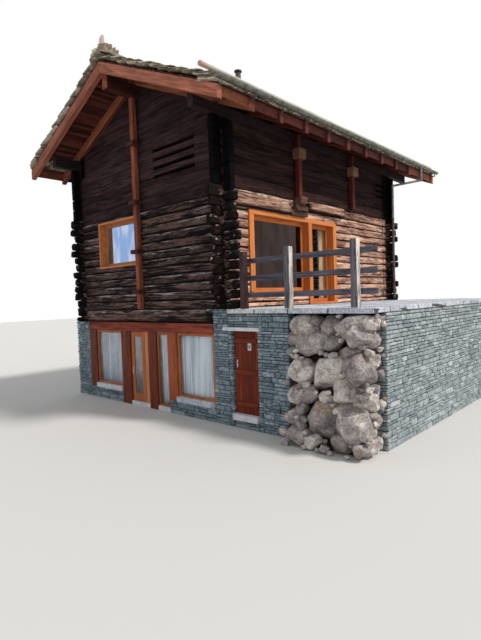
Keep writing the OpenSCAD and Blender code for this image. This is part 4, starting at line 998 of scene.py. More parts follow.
def rubbleWall(heap, low, high, faces, seed):
    # A face is its axis and its end of the box, such as x-
    dice = random.Random(seed)
    low, high = np.array(low, float), np.array(high, float)
    sides = [("xy".index(f[0]), f[1] == "+") for f in faces]
    coreLow, coreHigh = low.copy(), high.copy()
    for axis, far in sides:
        if far:
            coreHigh[axis] -= rubble["core"]
        else:
            coreLow[axis] += rubble["core"]
    addBlocks(heap, coreLow, coreHigh, bevel=0.004, skin=1)
    shortest, longest = rubble["length"]
    depth, gap = rubble["depth"], rubble["joint"] / 2
    levels = courseLevels(dice, low[2], high[2])
    lows, highs, tones = [], [], []
    for n, (z0, z1) in enumerate(zip(levels, levels[1:])):
        for axis, far in sides:
            other = 1 - axis
            s, end = low[other], high[other]
            if (n + axis) % 2:
                # the stones of the next face take this course's corners
                s += depth if (other, False) in sides else 0
                end -= depth if (other, True) in sides else 0
            while s < end - 1e-6:
                wide = dice.uniform(shortest, longest)
                if end - s < wide + shortest:
                    wide = end - s if end - s < longest * 1.2 else (end - s) / 2
                cuts = [z0, z1]
                if z1 - z0 > rubble["splitFrom"] and dice.random() < rubble["splitChance"]:
                    cuts.insert(1, z0 + (z1 - z0) * dice.uniform(0.4, 0.6))
                for p0, p1 in zip(cuts, cuts[1:]):
                    sink = dice.uniform(0, rubble["sink"])
                    a, b = np.zeros(3), np.zeros(3)
                    a[other], b[other] = s + gap, s + wide - gap
                    a[2], b[2] = p0 + gap * 0.8, p1 - gap * 0.8
                    if far:
                        a[axis], b[axis] = high[axis] - depth, high[axis] - sink
                    else:
                        a[axis], b[axis] = low[axis] + sink, low[axis] + depth
                    lows.append(a)
                    highs.append(b)
                    tones.append(min(max(dice.gauss(0.5, 0.17), 0), 1))
                s += wide
    addBlocks(heap, np.array(lows), np.array(highs), bevel=rubble["bevel"], jitter=rubble["jitter"],
              tones=tones, seed=seed)


def addFlags(heap, low, high, seed, size, bevel=0.008, jitter=0.006):
    # Flat stones in rows across the top of a box
    dice = random.Random(seed)
    gap, sink, longer = 0.012 / 2, 0.004, 1.4
    lows, highs, tones = [], [], []
    y = low[1]
    while y < high[1] - 1e-6:
        deep = dice.uniform(*size)
        if high[1] - y < deep + size[0]:
            deep = high[1] - y
        x = low[0]
        while x < high[0] - 1e-6:
            wide = dice.uniform(size[0], size[1] * longer)
            if high[0] - x < wide + size[0]:
                wide = high[0] - x
            lows.append((x + gap, y + gap, low[2]))
            highs.append((x + wide - gap, y + deep - gap, high[2] - dice.uniform(0, sink)))
            tones.append(dice.random())
            x += wide
        y += deep
    addBlocks(heap, np.array(lows), np.array(highs), bevel=bevel, jitter=jitter, tones=tones, seed=seed)


masonry = {"plinthEnds": (-1.2, 1.03), "ledge": 0.04, "threshold": 0.19, "pierFlags": (0.2, 0.4),
           "wallFlags": (0.25, 0.5)}


def layMasonry():
    # A row is a wall with its faces, or a ledge of flat stones with their least and most size
    hw, hl, top, terraceTop = wall["hw"], wall["hl"], wall["foot"], wall["terraceZ"]
    piers, beam, plinth, sills = (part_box(name) for name in ("front_piers", "lintel_beam", "plinths", "sills"))
    cellar, lintel, door = (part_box(name) for name in ("cellar_front", "cellar_lintel", "cellar_door"))
    left, pierBack = piers[0].x, piers[1].y
    pierL, pierR = beam[0].x, beam[1].x
    plinthL, plinthR = masonry["plinthEnds"]
    jambL, jambR = door[0].x - 0.01, sills[1].x
    farY, wide = cellar[1].y, cellar[1].x
    ledge = top - masonry["ledge"]
    pierFlags, wallFlags = masonry["pierFlags"], masonry["wallFlags"]
    pieces = {
        "pierStones": ("front_piers", [
            ((left, -hl, 0), (pierL, pierBack, top), ["x-", "y-", "x+"], 101),
            ((left, -hl, ledge), (-hw, pierBack, top), pierFlags, 102),
            ((pierR, -hl, 0), (hw, pierBack, top), ["x-", "y-"], 103),
            ((pierR, -hl, top), (hw, -hl + wall["logT"], terraceTop), ["y-"], 104)]),
        "leftWallStones": ("left_stone_wall", [
            ((left, pierBack, 0), (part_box("left_stone_wall")[1].x, -pierBack, top), ["x-"], 111),
            ((left, pierBack, ledge), (-hw, -pierBack, top), wallFlags, 112)]),
        "backWallStones": ("back_stone_wall", [
            ((left, -pierBack, 0), (hw, hl, top), ["x-", "y+"], 121),
            ((left, -pierBack, ledge), (-hw, hl, top), wallFlags, 122),
            ((pierR, hl - wall["logT"], top), (hw, hl, terraceTop), ["y+"], 123)]),
        "plinthStones": ("plinths", [
            ((pierL, -hl, 0), (plinthL, plinth[1].y, plinth[1].z), ["y-"], 131),
            ((plinthR, -hl, 0), (pierR, plinth[1].y, plinth[1].z), ["y-", "x-"], 132)]),
        "cellarFrontStones": ("cellar_front", [
            ((hw, -hl, 0), (jambL, farY, lintel[0].z), ["y-", "x+"], 140),
            ((jambL, -hl, 0), (jambR, farY, masonry["threshold"]), ["y-"], 144),
            ((jambR, -hl, 0), (wide, farY, lintel[0].z), ["y-", "x-", "x+"], 141),
            ((lintel[1].x, -hl, lintel[0].z), (wide, farY, lintel[1].z), ["y-", "x+"], 142),
            ((hw, -hl, lintel[1].z), (wide, farY, cellar[1].z), ["y-", "x+"], 143)]),
    }
    for name, (node, rows) in pieces.items():
        heap = newHeap()
        for low, high, what, seed in rows:
            if isinstance(what, tuple):
                addFlags(heap, low, high, seed, what)
            else:
                rubbleWall(heap, low, high, what, seed)
        makePiece(heap, name, ["rubbleStone", "darkJoint"], node)


layMasonry()
print("masonry laid")


terrace = {"retain": 0.45, "roomDeep": 2.5, "floorTop": 0.12, "flags": (0.5, 0.85), "flagBevel": 0.012,
           "flagJitter": 0.012, "bedIn": 0.015, "bedUnder": 0.02}


def layTerrace():
    hw, hl = wall["hw"] + 0.001, wall["hl"]
    walls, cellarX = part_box("terrace_walls"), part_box("cellar_front")[1].x
    retain, floorTop = terrace["retain"], terrace["floorTop"]
    front, low, top, far = walls[0].y, walls[0].z, walls[1].z, walls[1].x
    back = front + terrace["roomDeep"]
    heap = newHeap()
    # plain walls and floor of the cellar, under the terrace
    for start, end in (((cellarX - retain, front, low), (cellarX, back + retain, top)),
                       ((hw, back, low), (cellarX - retain, back + retain, top)),
                       ((hw, front, low), (cellarX - retain, back, floorTop))):
        addBlocks(heap, start, end, skin=1)
    rubbleWall(heap, (far - retain, front, low), (far, hl, top), ["x+", "y+", "y-"], 151)
    rubbleWall(heap, (hw, hl - retain, low), (far - retain, hl, top), ["y+"], 152)
    makePiece(heap, "terraceWallStones", ["terraceStone", "darkJoint"], "terrace_walls")

    heap = newHeap()
    (x0, y0, z0), (x1, y1, z1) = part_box("terrace_slab")
    inside, under = terrace["bedIn"], terrace["bedUnder"]
    addBlocks(heap, (x0, y0 + 0.02, z0), (x1 - inside, y1 - inside, z1 - under), skin=1)
    addFlags(heap, (x0, y0, z0 + 0.002), (x1, y1, z1), 161, terrace["flags"], bevel=terrace["flagBevel"],
             jitter=terrace["flagJitter"])
    makePiece(heap, "terraceFlags", ["paleSlab", "darkJoint"], "terrace_slab")


layTerrace()


# Boulders piled against the terrace: radii and how many of each are tried, the most depth, how near they
# lie for the sum of their radii, and how much wider, deeper and taller they are than their radius

boulders = {"radii": ((0.38, 9), (0.3, 18), (0.23, 34), (0.16, 70), (0.1, 150), (0.06, 160)),
            "tries": 90, "deep": 0.3, "room": 0.76, "wider": 1.22, "deeper": 1.1, "taller": (0.85, 1.05),
            "closerAcross": 1.12, "fineFrom": 0.2, "side": 0.75, "earthBehind": 0.34}
# flat cuts through a stone, their depth, and its roughness with the scale of each kind
rock = {"cuts": 11, "cutDepth": (0.55, 0.8), "cutShare": 0.97, "turn": 0.4,
        "rough": ((0.07, 1.7), (0.04, 4.5), (0.022, 11))}


def roundTemplate(detail):
    ball = bmesh.new()
    bmesh.ops.create_icosphere(ball, subdivisions=detail, radius=1.0)
    co = np.array([v.co[:] for v in ball.verts])
    tris = np.array([[v.index for v in f.verts] for f in ball.faces])
    ball.free()
    return co, tris


def addBoulder(heap, centre, size, template, seed, low, high, skin=0, lean=0.4):
    # low and high are the box that the stone stays in
    ball, tris = template
    dice = random.Random(seed)
    co = ball.copy()
    for cut in range(rock["cuts"]):
        # flat faces, cut as if the rock had split there
        normal = np.array([dice.gauss(0, 1) for axis in "xyz"])
        normal /= np.linalg.norm(normal)
        depth = dice.uniform(*rock["cutDepth"])
        over = np.maximum(co @ normal - depth, 0)
        co = co - over[:, None] * normal * rock["cutShare"]
    rough = 0.0
    for n, (share, scale) in enumerate(rock["rough"]):
        rough = rough + share * smoothNoise(ball * scale + seed, seed + n)
    co = co * (1 + rough)[:, None]
    angles = [dice.uniform(-most, most) for most in (rock["turn"], lean, lean)]
    aboutZ, aboutX, aboutY = (Matrix.Rotation(angle, 3, axis) for angle, axis in zip(angles, "ZXY"))
    co = (co * size) @ np.array(aboutZ @ aboutX @ aboutY).T
    co = co + centre
    co = co + np.maximum(low - co.min(axis=0), 0) - np.maximum(co.max(axis=0) - high, 0)
    co = np.clip(co, low, high)
    addPart(heap, co, [tris], grain=co + seed * 1.37, tone=dice.uniform(0.25, 0.95), skin=skin)


def boulderFace(low, high, z):
    # The pile's front leans back towards its top
    t = z / (high[2] - low[2])
    return np.interp(t, [0, 0.6, 1], [low[1], -wall["hl"] - 0.216, -wall["hl"]])


def addEarth(heap, low, high):
    levels = np.linspace(low[2], high[2], 7)
    behind = boulders["earthBehind"]
    near, far = low[0], high[0] - behind
    ring = []
    for z in levels:
        y = boulderFace(low, high, z) + behind
        ring.append([(near, y, z), (far, y, z), (far, high[1], z), (near, high[1], z)])
    quads = [[i * 4 + k, i * 4 + (k + 1) % 4, i * 4 + 4 + (k + 1) % 4, i * 4 + 4 + k]
             for i in range(len(levels) - 1) for k in range(4)]
    last = (len(levels) - 1) * 4
    quads += [[3, 2, 1, 0], [last, last + 1, last + 2, last + 3]]
    addPart(heap, ring, [np.array(quads)], tone=0.4, skin=1)


def scatterBoulders(dice, across, tall):
    # Places on the unrolled face, large stones first
    laid, closer = [], boulders["closerAcross"]
    for radius, count in boulders["radii"]:
        for n in range(count):
            r = radius * dice.uniform(0.85, 1.15)
            for k in range(boulders["tries"]):
                s, z = dice.uniform(0.2 * r, across), dice.uniform(0.5 * r, tall - 0.5 * r)
                if all(math.hypot((s - a) / closer, z - b) > boulders["room"] * (r + c) for a, b, c in laid):
                    laid.append((s, z, r))
                    break
    return laid


def pileBoulders():
    low, high = (np.array(corner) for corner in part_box("boulder_wall"))
    heap = newHeap()
    dice = random.Random(171)
    addEarth(heap, low, high)
    fine, small = roundTemplate(4), roundTemplate(3)
    # s runs over the front and on round the open side, up to the terrace wall
    front = high[0] - low[0]
    laid = scatterBoulders(dice, front + boulders["side"], high[2])
    for n, (s, z, r) in enumerate(laid):
        deep = min(r, boulders["deep"])
        tall = r * dice.uniform(*boulders["taller"])
        size = np.array([r * boulders["wider"], deep * boulders["deeper"], tall])
        y = boulderFace(low, high, z)
        if s < front - 0.1:
            centre = np.array([low[0] + s, y + deep * 0.9, z])
        else:
            # set back behind the open side
            size = size[[1, 0, 2]]
            centre = np.array([high[0] - deep * 0.9, y + 0.2 + s - front, z])
        addBoulder(heap, centre, size, fine if r > boulders["fineFrom"] else small, 1000 + n, low, high)
    print("boulders", len(laid))
    makePiece(heap, "boulderPile", ["boulderStone", "darkEarth"], "boulder_wall", sharp=60)


pileBoulders()
print("terrace and boulders laid")


# Roof covering: thin irregular slabs in lapped courses, three layers to a course

slabs = {"wide": (0.22, 0.68), "layers": 3, "thin": (0.016, 0.03), "rough": 0.024, "back": 0.5,
         "backScatter": 0.1, "scatter": 0.15, "eaveShare": 0.4, "eaveScatter": 0.05,
         "endScatter": (0.05, 0.04),
         "layerBack": 0.03, "tilt": 0.03, "dropScatter": 0.006, "gap": 0.004, "flueGap": 0.02}


def addSlab(heap, corners, topAt, thick, dice, tone=None):
    # corners are the outline's points in order, topAt gives the height of the top at x, y
    outline = np.array(corners, float)
    outline[:, 1] = np.minimum(outline[:, 1], roof["back"] - 0.001)
    centre = outline.mean(axis=0)
    away = outline - centre
    length = np.linalg.norm(away, axis=1, keepdims=True)
    inward = -away / length
    rings = [(outline + inward * 0.010, 0.0), (outline, -0.35 * thick), (outline + inward * 0.014, -thick)]
    co = [stack3(points[:, 0], points[:, 1], topAt(points[:, 0], points[:, 1]) + drop)
          for points, drop in rings]
    top = stack3(centre[0], centre[1], topAt(centre[0], centre[1])).reshape(1, 3)
    co = np.concatenate(co + [top, top - np.array([[0, 0, thick]])])
    n = len(outline)
    k = np.arange(n)
    j = (k + 1) % n
    quads = np.concatenate([np.stack([k + r * n, j + r * n, j + (r + 1) * n, k + (r + 1) * n], axis=-1)
                            for r in range(2)])
    tris = np.concatenate([np.stack([np.full(n, 3 * n), k, j], axis=-1),
                           np.stack([np.full(n, 3 * n + 1), j + 2 * n, k + 2 * n], axis=-1)])
    addPart(heap, co, [quads, tris], tone=dice.random() if tone is None else tone,
            grain=co + dice.uniform(0, 40))


def raggedOutline(dice, x0, x1, y0, y1, rough):
    # A slab with clipped corners and uneven edges; x1 is its lower edge
    def j():
        return dice.uniform(-rough, rough)
    clip = [dice.uniform(0.03, 0.10) for n in range(4)]
    third = (y1 - y0) / 3
    return [(x0 + j() * 2, y0 + clip[0]), (x0 + clip[0] * 0.5, y0 + j() * 0.4),
            (x1 - clip[1], y0 + j() * 0.4), (x1 - abs(j()), y0 + clip[1]),
            (x1 - abs(j()) * 1.5, y0 + third + j()), (x1 - abs(j()) * 1.5, y1 - third + j()),
            (x1 - abs(j()), y1 - clip[2]), (x1 - clip[2], y1 + j() * 0.4),
            (x0 + clip[3] * 0.5, y1 + j() * 0.4), (x0 + j() * 2, y1 - clip[3])]


def slabBesideFlue(x0, x1, y0, y1):
    # Slabs end above or below the flue
    low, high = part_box("flue")
    gap = slabs["flueGap"]
    if y1 < low.y - gap or y0 > high.y + gap or x0 >= high.x or x1 <= low.x:
        return x0, x1
    return (high.x + gap, x1) if x1 > high.x + 0.2 else (x0, low.x - gap)


def layRoofSlabs(side, name, seed):
    heap = newHeap()
    dice = random.Random(seed)
    lift = roof["slabT"] / roof["run"]
    for i in range(1, roof["courses"] + 3):
        edge = i * roof["run"]
        # the lowest courses keep to the eave
        scatter = slabs["eaveShare"] if i > roof["courses"] - 1 else 1
        for layer in range(slabs["layers"]):
            y = roof["front"] + dice.uniform(0, slabs["endScatter"][0])
            end = roof["back"] - dice.uniform(0, slabs["endScatter"][1])
            while y < end - 0.02:
                wide = dice.uniform(*slabs["wide"])
                if end - y < wide + slabs["wide"][0]:
                    wide = end - y
                thick = dice.uniform(*slabs["thin"])
                x1 = edge - layer * slabs["layerBack"] - dice.uniform(0, slabs["scatter"]) * scatter
                x1 = min(x1, roof["eave"] - dice.uniform(0, slabs["eaveScatter"]))
                x0 = max(x1 - slabs["back"] - dice.uniform(0, slabs["backScatter"]), 0.02)
                tilt = dice.uniform(-slabs["tilt"], slabs["tilt"])
                drop = layer * roof["slabT"] / slabs["layers"] + dice.uniform(0, slabs["dropScatter"])
                if side > 0:
                    x0, x1 = slabBesideFlue(x0, x1, y, y + wide)

                def topAt(x, yy, edge=edge, drop=drop, tilt=tilt, mid=y + wide / 2):
                    up = roof["nose"] - (edge - x) * lift - drop + tilt * (yy - mid)
                    return roof["under"] - roof["slope"] * x + up

                if x1 > x0 + 0.05:
                    y0, y1 = y + slabs["gap"], y + wide - slabs["gap"]
                    points = raggedOutline(dice, x0, x1, y0, y1, slabs["rough"])
                    addSlab(heap, points, topAt, thick, dice, tone=min(max(dice.gauss(0.5, 0.2), 0), 1))
                    if side < 0:
                        mirrorLast(heap)
                y += wide
    makePiece(heap, name, ["roofSlab"], "stone_roof")


layRoofSlabs(1, "rightRoofSlabs", 201)
layRoofSlabs(-1, "leftRoofSlabs", 203)


# Ridge: two layers of slabs on each side, a heap of small flat stones at the front and an upright one in it

ridge = {"wide": (0.4, 0.85), "thick": (0.03, 0.045), "rough": 0.014, "rise": 0.055, "layers": 2,
         "layerRise": 0.05, "layerBack": 0.05, "scatter": 0.05, "startScatter": 0.03, "tilt": 0.01,
         "heapCount": 26, "heapHalf": 0.42, "heapLong": 0.95, "heapTall": 0.17,
         "upright": (0.085, 0.08, 0.21)}


def layRidge():
    heap = newHeap()
    dice = random.Random(211)
    low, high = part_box("ridge_slabs")
    crownZ = roof["under"] + roof["nose"]
    for side in (1, -1):
        for layer in range(ridge["layers"]):
            y = roof["front"] + dice.uniform(0, ridge["startScatter"])
            while y < roof["back"] - 0.02:
                wide = dice.uniform(*ridge["wide"])
                if roof["back"] - y < wide + ridge["wide"][0]:
                    wide = roof["back"] - y
                thick = dice.uniform(*ridge["thick"])
                tilt = dice.uniform(-ridge["tilt"], ridge["tilt"])
                x1 = high.x - layer * ridge["layerBack"] - dice.uniform(0, ridge["scatter"])
                x0 = 0.004 if side > 0 else 0.01

                def topAt(x, yy, layer=layer, tilt=tilt, mid=y + wide / 2):
                    up = ridge["rise"] + layer * ridge["layerRise"]
                    return crownZ + up - roof["slope"] * 0.9 * x + tilt * (yy - mid)

                addSlab(heap, raggedOutline(dice, x0, x1, y, y + wide, ridge["rough"]), topAt, thick, dice)
                if side < 0:
                    mirrorLast(heap)
                y += wide
    ball = roundTemplate(3)
    foot = crownZ + 0.06
    boxLow = np.array((-ridge["heapHalf"], low.y, low.z))
    boxHigh = np.array((ridge["heapHalf"], low.y + ridge["heapLong"], high.z))
    for n in range(ridge["heapCount"]):
        lifted = n / ridge["heapCount"]
        spread = 0.30 * (1 - 0.75 * lifted)
        x, y = dice.uniform(-spread, spread), low.y + 0.3 + dice.uniform(-0.26, 0.5) * (1 - 0.7 * lifted)
        size = np.array([dice.uniform(0.09, 0.2), dice.uniform(0.09, 0.2), dice.uniform(0.03, 0.06)])
        centre = np.array([x, y, foot + ridge["heapTall"] * lifted - roof["slope"] * abs(x) * 0.7])
        addBoulder(heap, centre, size, ball, 500 + n, boxLow, boxHigh, skin=2, lean=0.35)
    stone = np.array(ridge["upright"])
    centre = np.array((0.0, low.y + 0.22, high.z - 0.2))
    addBoulder(heap, centre, stone, ball, 307, centre - stone, centre + stone, skin=1, lean=0.1)
    makePiece(heap, "ridgeStones", ["roofSlab", "capStone", "ridgeHeap"], "ridge_slabs")


layRidge()
print("roof covered")


# Boards under the covering, run along the roof on the rafters

boards = {"wide": (0.09, 0.13), "narrowest": 0.08, "thick": 0.04, "gap": 0.004,
          "joints": ((-3.2, -2.0), (1.4, 2.6))}


def layBoards():
    heap = newHeap()
    dice = random.Random(221)
    low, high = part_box("roof_boards")
    thick, gap = boards["thick"], boards["gap"]
    cosine = math.cos(math.atan(roof["slope"]))
    long = (high.x - 0.003) / cosine
    for side in (1, -1):
        v = 0.0
        while v < long - 0.01:
            wide = dice.uniform(*boards["wide"])
            if long - v < wide + boards["narrowest"]:
                wide = long - v
            joints = sorted([low.y, high.y] + [dice.uniform(*span) for span in boards["joints"]])
            for y0, y1 in zip(joints, joints[1:]):
                # laid flat first, then put on the slope
                addBlocks(heap, (v + gap, y0 + 0.001, dice.uniform(0, 0.006)),
                          (v + wide - gap, y1 - 0.001, thick - 0.001), bevel=0.004, jitter=0.005,
                          tones=[dice.random()], seed=int(v * 100) + side, along=1)
                co = heap["co"][-1].copy()
                x = co[:, 0] * cosine
                z = roof["under"] - thick / cosine - roof["slope"] * x + co[:, 2] / cosine
                heap["co"][-1] = stack3(side * x, co[:, 1], z)
            v += wide
    makePiece(heap, "roofBoards", ["shadedSoffitBoards"], "roof_boards")


layBoards()


# Fence and snow pole

fence = {"post": 0.15, "posts": (5.12, 6.69), "thick": 0.045, "tall": 0.12, "rails": 3, "firstUp": 0.24,
         "pitch": 0.39}
railLook = {"points": 12, "square": 0.3, "wave": 0.006, "rough": 0.003, "groove": 0.003, "step": 0.12,
            "tip": 0.03, "tipLoss": 0.25, "sway": 0.01, "ragged": 0.01, "endWearAndShade": 0.5}
postLook = dict(railLook, points=14, sway=0.006)
poleLook = {"points": 14, "square": 1.0, "wave": 0.004, "rough": 0.003, "groove": 0.002, "step": 0.25,
            "tip": 0.03, "tipLoss": 0.2, "sway": 0.0, "ragged": 0.01, "endWearAndShade": 0.5, "inside": 0.006}


def buildFence():
    heap = newHeap()
    low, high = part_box("fence")
    half, behind = fence["post"] / 2, low.y + fence["post"]
    for n, x in enumerate((low.x + half, *fence["posts"])):
        hewn(heap, (low.z, high.z), (x - half, x + half), fence["post"],
             lambda s, out, z: stack3(z, behind + out, s), postLook, 301 + n, roundEnds=(False, True),
             tone=0.5, skin=1 if n == 0 else 2)
    for n in range(fence["rails"]):
        z = low.z + fence["firstUp"] + n * fence["pitch"]
        hewn(heap, (low.x + 0.01, high.x - 0.002), (z, z + fence["tall"]), fence["thick"],
             lambda s, out, z: stack3(s, behind + fence["thick"] + out, z), railLook, 311 + n)
    makePiece(heap, "terraceFence", ["greyFence", "darkFencePost", "greyFencePost"], "fence")


def laySnowPole():
    heap = newHeap()
    low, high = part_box("snow_pole")
    r = (high.x - low.x) / 2
    inside = poleLook["inside"]
    midX, midZ = (low.x + high.x) / 2, (low.z + high.z) / 2
    hewn(heap, (low.y, high.y), (midZ - r + inside, midZ + r - inside), 2 * r - 2 * inside,
         lambda s, out, z: stack3(midX + out + r - inside, s, z), poleLook, 331)
    makePiece(heap, "snowPole", ["peeledPole"], "snow_pole")


buildFence()
laySnowPole()
print("fence and pole set")


# Curtains, gathered on their rails: span along the rail, seed and cloth

folds = {"pitch": 0.115, "deep": 0.024, "rows": 14, "perFold": 10, "cloth": 0.0016, "inset": 0.03,
         "sillThick": 0.14, "terraceUp": 0.09}
curtains = {
    "leftCurtain": (-2.60, -1.22, 401, "greyCurtain"),
    "sideLightCurtain": (0.53, 1.01, 403, "whiteCurtain"),
    "rightCurtain": (1.41, 2.78, 405, "whiteCurtain"),
    "terraceCurtain": (0.10, 0.50, 407, "sandCurtain"),
}


def hangCurtain(name, low, high, across, alongY):
    a, b, seed, skinName = curtains[name]
    count = max(2, round((b - a) / folds["pitch"]))
    s = np.linspace(a, b, count * folds["perFold"] + 1)
    sGrid, zGrid = np.meshgrid(s, np.linspace(high, low, folds["rows"]))
    t = (high - zGrid) / (high - low)
    drift = 0.5 * smoothNoise(stack3(sGrid * 3, zGrid * 0.7, 0 * sGrid), seed) * (0.3 + t)
    phase = (sGrid - a) / (b - a) * count * 2 * math.pi + drift
    uneven = smoothNoise(stack3(sGrid * 2.2, zGrid * 0.5, 0 * sGrid + 5), seed + 1)
    depth = folds["deep"] * (0.72 + 0.28 * uneven) * np.sin(phase)
    co = stack3(across + depth, sGrid, zGrid) if alongY else stack3(sGrid, across + depth, zGrid)
    index = np.arange(sGrid.size).reshape(sGrid.shape)
    quads = np.stack([index[:-1, :-1], index[:-1, 1:], index[1:, 1:], index[1:, :-1]], axis=-1).reshape(-1, 4)
    heap = newHeap()
    addPart(heap, co, [quads], tone=0.5)
    piece = makePiece(heap, name, [skinName], "curtains", sharp=180)
    thicken = piece.modifiers.new("clothThickness", "SOLIDIFY")
    thicken.thickness = folds["cloth"]
    thicken.offset = 0.0


def hangCurtains():
    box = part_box("curtains")
    inset = folds["inset"]
    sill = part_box("plinths")[1].z + folds["sillThick"] + inset
    top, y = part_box("curtain_rails")[0].z - 0.001, box[0].y + inset
    hangCurtain("leftCurtain", sill, top, y, False)
    hangCurtain("sideLightCurtain", box[0].z, top, y, False)
    hangCurtain("rightCurtain", sill, top, y, False)
    hangCurtain("terraceCurtain", wall["terraceZ"] + folds["terraceUp"], box[1].z, box[1].x - inset, True)


hangCurtains()
print("curtains hung")


# Cellar door of upright boards, with battens, a small bare plate, and a grip with its plate at the free edge

cellarDoor = {
    "boards": 7, "gap": 0.0015, "proud": 0.03,
    "battens": (0.17, 0.92, 1.67), "battenIn": 0.04, "battenTall": 0.11,
    "plateAt": (0.42, 0.45), "plate": (0.11, 0.17), "knob": ((0.035, 0.05), (0.075, 0.12)),
    "gripAt": (0.06, 0.92 + 0.16), "gripPlate": (0.04, 0.18), "grip": ((0.006, 0.11), (0.034, 0.135)),
}


def buildCellarDoor():
    heap = newHeap()
    dice = random.Random(241)
    door = cellarDoor
    low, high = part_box("cellar_door")
    face = low.y + door["proud"]
    wide = (high.x - low.x) / door["boards"]
    for n in range(door["boards"]):
        addBlocks(heap, (low.x + n * wide + door["gap"], face + dice.uniform(0, 0.003), low.z),
                  (low.x + (n + 1) * wide - door["gap"], high.y, high.z), tones=[dice.random()], along=2)
    for up in door["battens"]:
        z = low.z + up
        addBlocks(heap, (low.x + door["battenIn"], low.y, z),
                  (high.x - door["battenIn"], face + 0.004, z + door["battenTall"]), bevel=0.008, tones=[0.7])

    def addFitting(corner, start, end, y0, y1, bevel, skin):
        x, z = corner
        addBlocks(heap, (x + start[0], y0, z + start[1]), (x + end[0], y1, z + end[1]), bevel=bevel,
                  skin=skin)

    plate = (low.x + door["plateAt"][0], high.z - door["plateAt"][1])
    grip = (low.x + door["gripAt"][0], low.z + door["gripAt"][1])
    addFitting(plate, (0, 0), door["plate"], face - 0.006, face + 0.004, 0.003, 1)
    addFitting(plate, *door["knob"], face - 0.009, face, 0.003, 2)
    addFitting(grip, (0, 0), door["gripPlate"], face - 0.006, face + 0.004, 0.003, 1)
    addFitting(grip, *door["grip"], low.y + 0.002, face, 0.010, 1)
    makePiece(heap, "cellarDoorLeaf", ["cellarDoorWood", "brushedSteel", "darkSheet"],
              "cellar_door", body="cellar_door")


buildCellarDoor()


# Nodes that keep their CAD shape. Where one node has several finishes, the middle of a face chooses.

finishes = {"palePost": (-0.075, 0.139), "midPostFrom": 1.02, "bargeDeep": 0.26, "purlinEnd": 0.3,
            "zincAbove": 5.2, "terraceFrom": 3, "doorPaneFrom": -0.77, "upperFrom": 3}


def onLongSide(c):
    return abs(c.x) > wall["hw"] - 0.01


def nearRoofEnd(c, depth):
    return c.y < roof["front"] + depth or c.y > roof["back"] - depth


def rafterSkin(c):
    if nearRoofEnd(c, finishes["bargeDeep"]):
        return 0
    # the rafters along the eaves take the darker copy: painted shade
    return 1 if abs(c.y) > wall["hl"] else 2


def postSkin(c):
    start, end = finishes["palePost"]
    if start < c.x < end:
        return 1
    return 2 if c.x > finishes["midPostFrom"] else 0


def glassSkin(c):
    if c.x > finishes["terraceFrom"]:
        return 2 if c.y < finishes["doorPaneFrom"] else 3
    return 1 if c.z > finishes["upperFrom"] else 0


dressNode("binders", ["gableBinderLarch", "sideBinderLarch"], axis=2, bevel=0.01, choose=onLongSide)
dressNode("clamps", ["clampWood", "paleClampWood"], axis=None, bevel=0.01, choose=onLongSide)
dressNode("ridge_purlin", ["gableBinderLarch", "darkPurlin"], axis=1, bevel=0.01,
          choose=lambda c: not nearRoofEnd(c, finishes["purlinEnd"]))
dressNode("wall_plates", ["darkBeam"], axis=1, bevel=0.01)
dressNode("rafters", ["bargeLarch", "rafterLarch", "eaveShadowLarch"], slope=roof["slope"], bevel=0.008,
          choose=rafterSkin)
dressNode("lintel_beam", ["lintelLarch"], bevel=0.01)
dressNode("front_posts", ["redPost", "palePost", "midPost"], axis=2, bevel=0.012, choose=postSkin)
dressNode("front_window_frames", ["windowLarch"], axis=2, bevel=0.005)
dressNode("front_door", ["windowLarch"], axis=2, bevel=0.005)
dressNode("gable_window", ["gableFrameLarch"], axis=None, bevel=0.004)
dressNode("terrace_window", ["freshLarch"], axis=None)
dressNode("curtain_rails", ["freshLarch"], axis=None, bevel=0.003)
dressNode("upper_floor", ["floorBoards"], axis=1, bevel=0.004)
dressNode("ground_floor", ["paleSlab"], bevel=0.004)
dressNode("sills", ["paleSlab"], bevel=0.012)
dressNode("cellar_lintel", ["paleSlab"], bevel=0.0)
dressNode("right_stone_wall", ["rubbleStone"], bevel=0.01)
dressNode("downpipe", ["downpipeZinc", "darkSheet"], bevel=0.0, choose=lambda c: c.z <= finishes["zincAbove"])
dressNode("window_glass", ["clearPane", "skyReflectionPane", "darkReflectionPane", "doorPane"], bevel=0.0, choose=glassSkin)
for nodeName, skinName in (("gutter", "weatheredZinc"), ("flue", "darkSheet"),
                           ("door_hinges", "brushedSteel"), ("front_door_handle", "brushedSteel"),
                           ("front_door_glass", "hazyReflectionPane")):
    dressNode(nodeName, [skinName], bevel=0.0)
print("frame nodes dressed")


# Studio

def linkNew(name, data):
    thing = bpy.data.objects.new(name, data)
    bpy.context.scene.collection.objects.link(thing)
    return thing


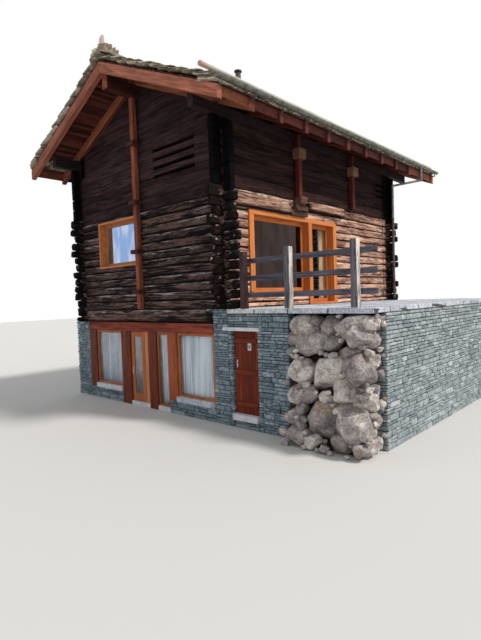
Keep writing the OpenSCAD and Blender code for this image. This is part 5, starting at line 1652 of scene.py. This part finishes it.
def layFloor():
    size, z = studio["floorSize"] / 2, -studio["floorDrop"]
    mesh = bpy.data.meshes.new("studioFloor")
    corners = [(-size, -size, z), (size, -size, z), (size, size, z), (-size, size, z)]
    mesh.from_pydata(corners, [], [(0, 1, 2, 3)])
    floor = linkNew("studioFloor", mesh)
    tree, inputs = newSkin("studioFloorPaint")
    inputs["Base Color"].default_value = tint(*studio["floorColour"])
    inputs["Roughness"].default_value = 0.9
    mesh.materials.append(skins["studioFloorPaint"])


def lightStudio():
    sun = bpy.data.lights.new("softSun", "SUN")
    sun.energy = studio["sunStrength"]
    sun.angle = math.radians(studio["sunSoftness"])
    sun.color = studio["sunTint"]
    lamp = linkNew("softSun", sun)
    lamp.rotation_euler = Vector(studio["sunFrom"]).to_track_quat("Z", "Y").to_euler()
    world = bpy.data.worlds.new("studioWorld")
    bpy.context.scene.world = world
    world.use_nodes = True
    tree = world.node_tree
    # the camera, mirrors and glass see plain white, the light is softer
    path = put(tree, "ShaderNodeLightPath").outputs
    seen = maths(tree, "MAXIMUM", path["Is Camera Ray"], path["Is Glossy Ray"])
    seen = maths(tree, "MAXIMUM", seen, path["Is Transmission Ray"])
    colour = blendColours(tree, seen, (*studio["worldTint"], 1.0), (1.0, 1.0, 1.0, 1.0))
    wire(tree, tree.nodes["Background"].inputs, Color=colour,
         Strength=ramp(tree, seen, 0.0, 1.0, studio["worldStrength"], 1.0))


def setCamera():
    lens = bpy.data.cameras.new("photoCamera")
    lens.sensor_width = photoCamera["sensor"]
    lens.lens = photoCamera["focalPixels"] / photoCamera["longSidePixels"] * photoCamera["sensor"]
    lens.clip_end = 500
    camera = linkNew("photoCamera", lens)
    yaw, pitch, roll = (math.radians(photoCamera[k]) for k in ("yaw", "pitch", "roll"))
    turn = (Matrix.Rotation(yaw, 4, "Z") @ Matrix.Rotation(math.pi / 2 + pitch, 4, "X")
            @ Matrix.Rotation(-roll, 4, "Z"))
    camera.matrix_world = Matrix.Translation(photoCamera["place"]) @ turn
    bpy.context.scene.camera = camera
    bpy.context.scene.view_settings.view_transform = "Standard"


layFloor()
lightStudio()
setCamera()
print("studio set")
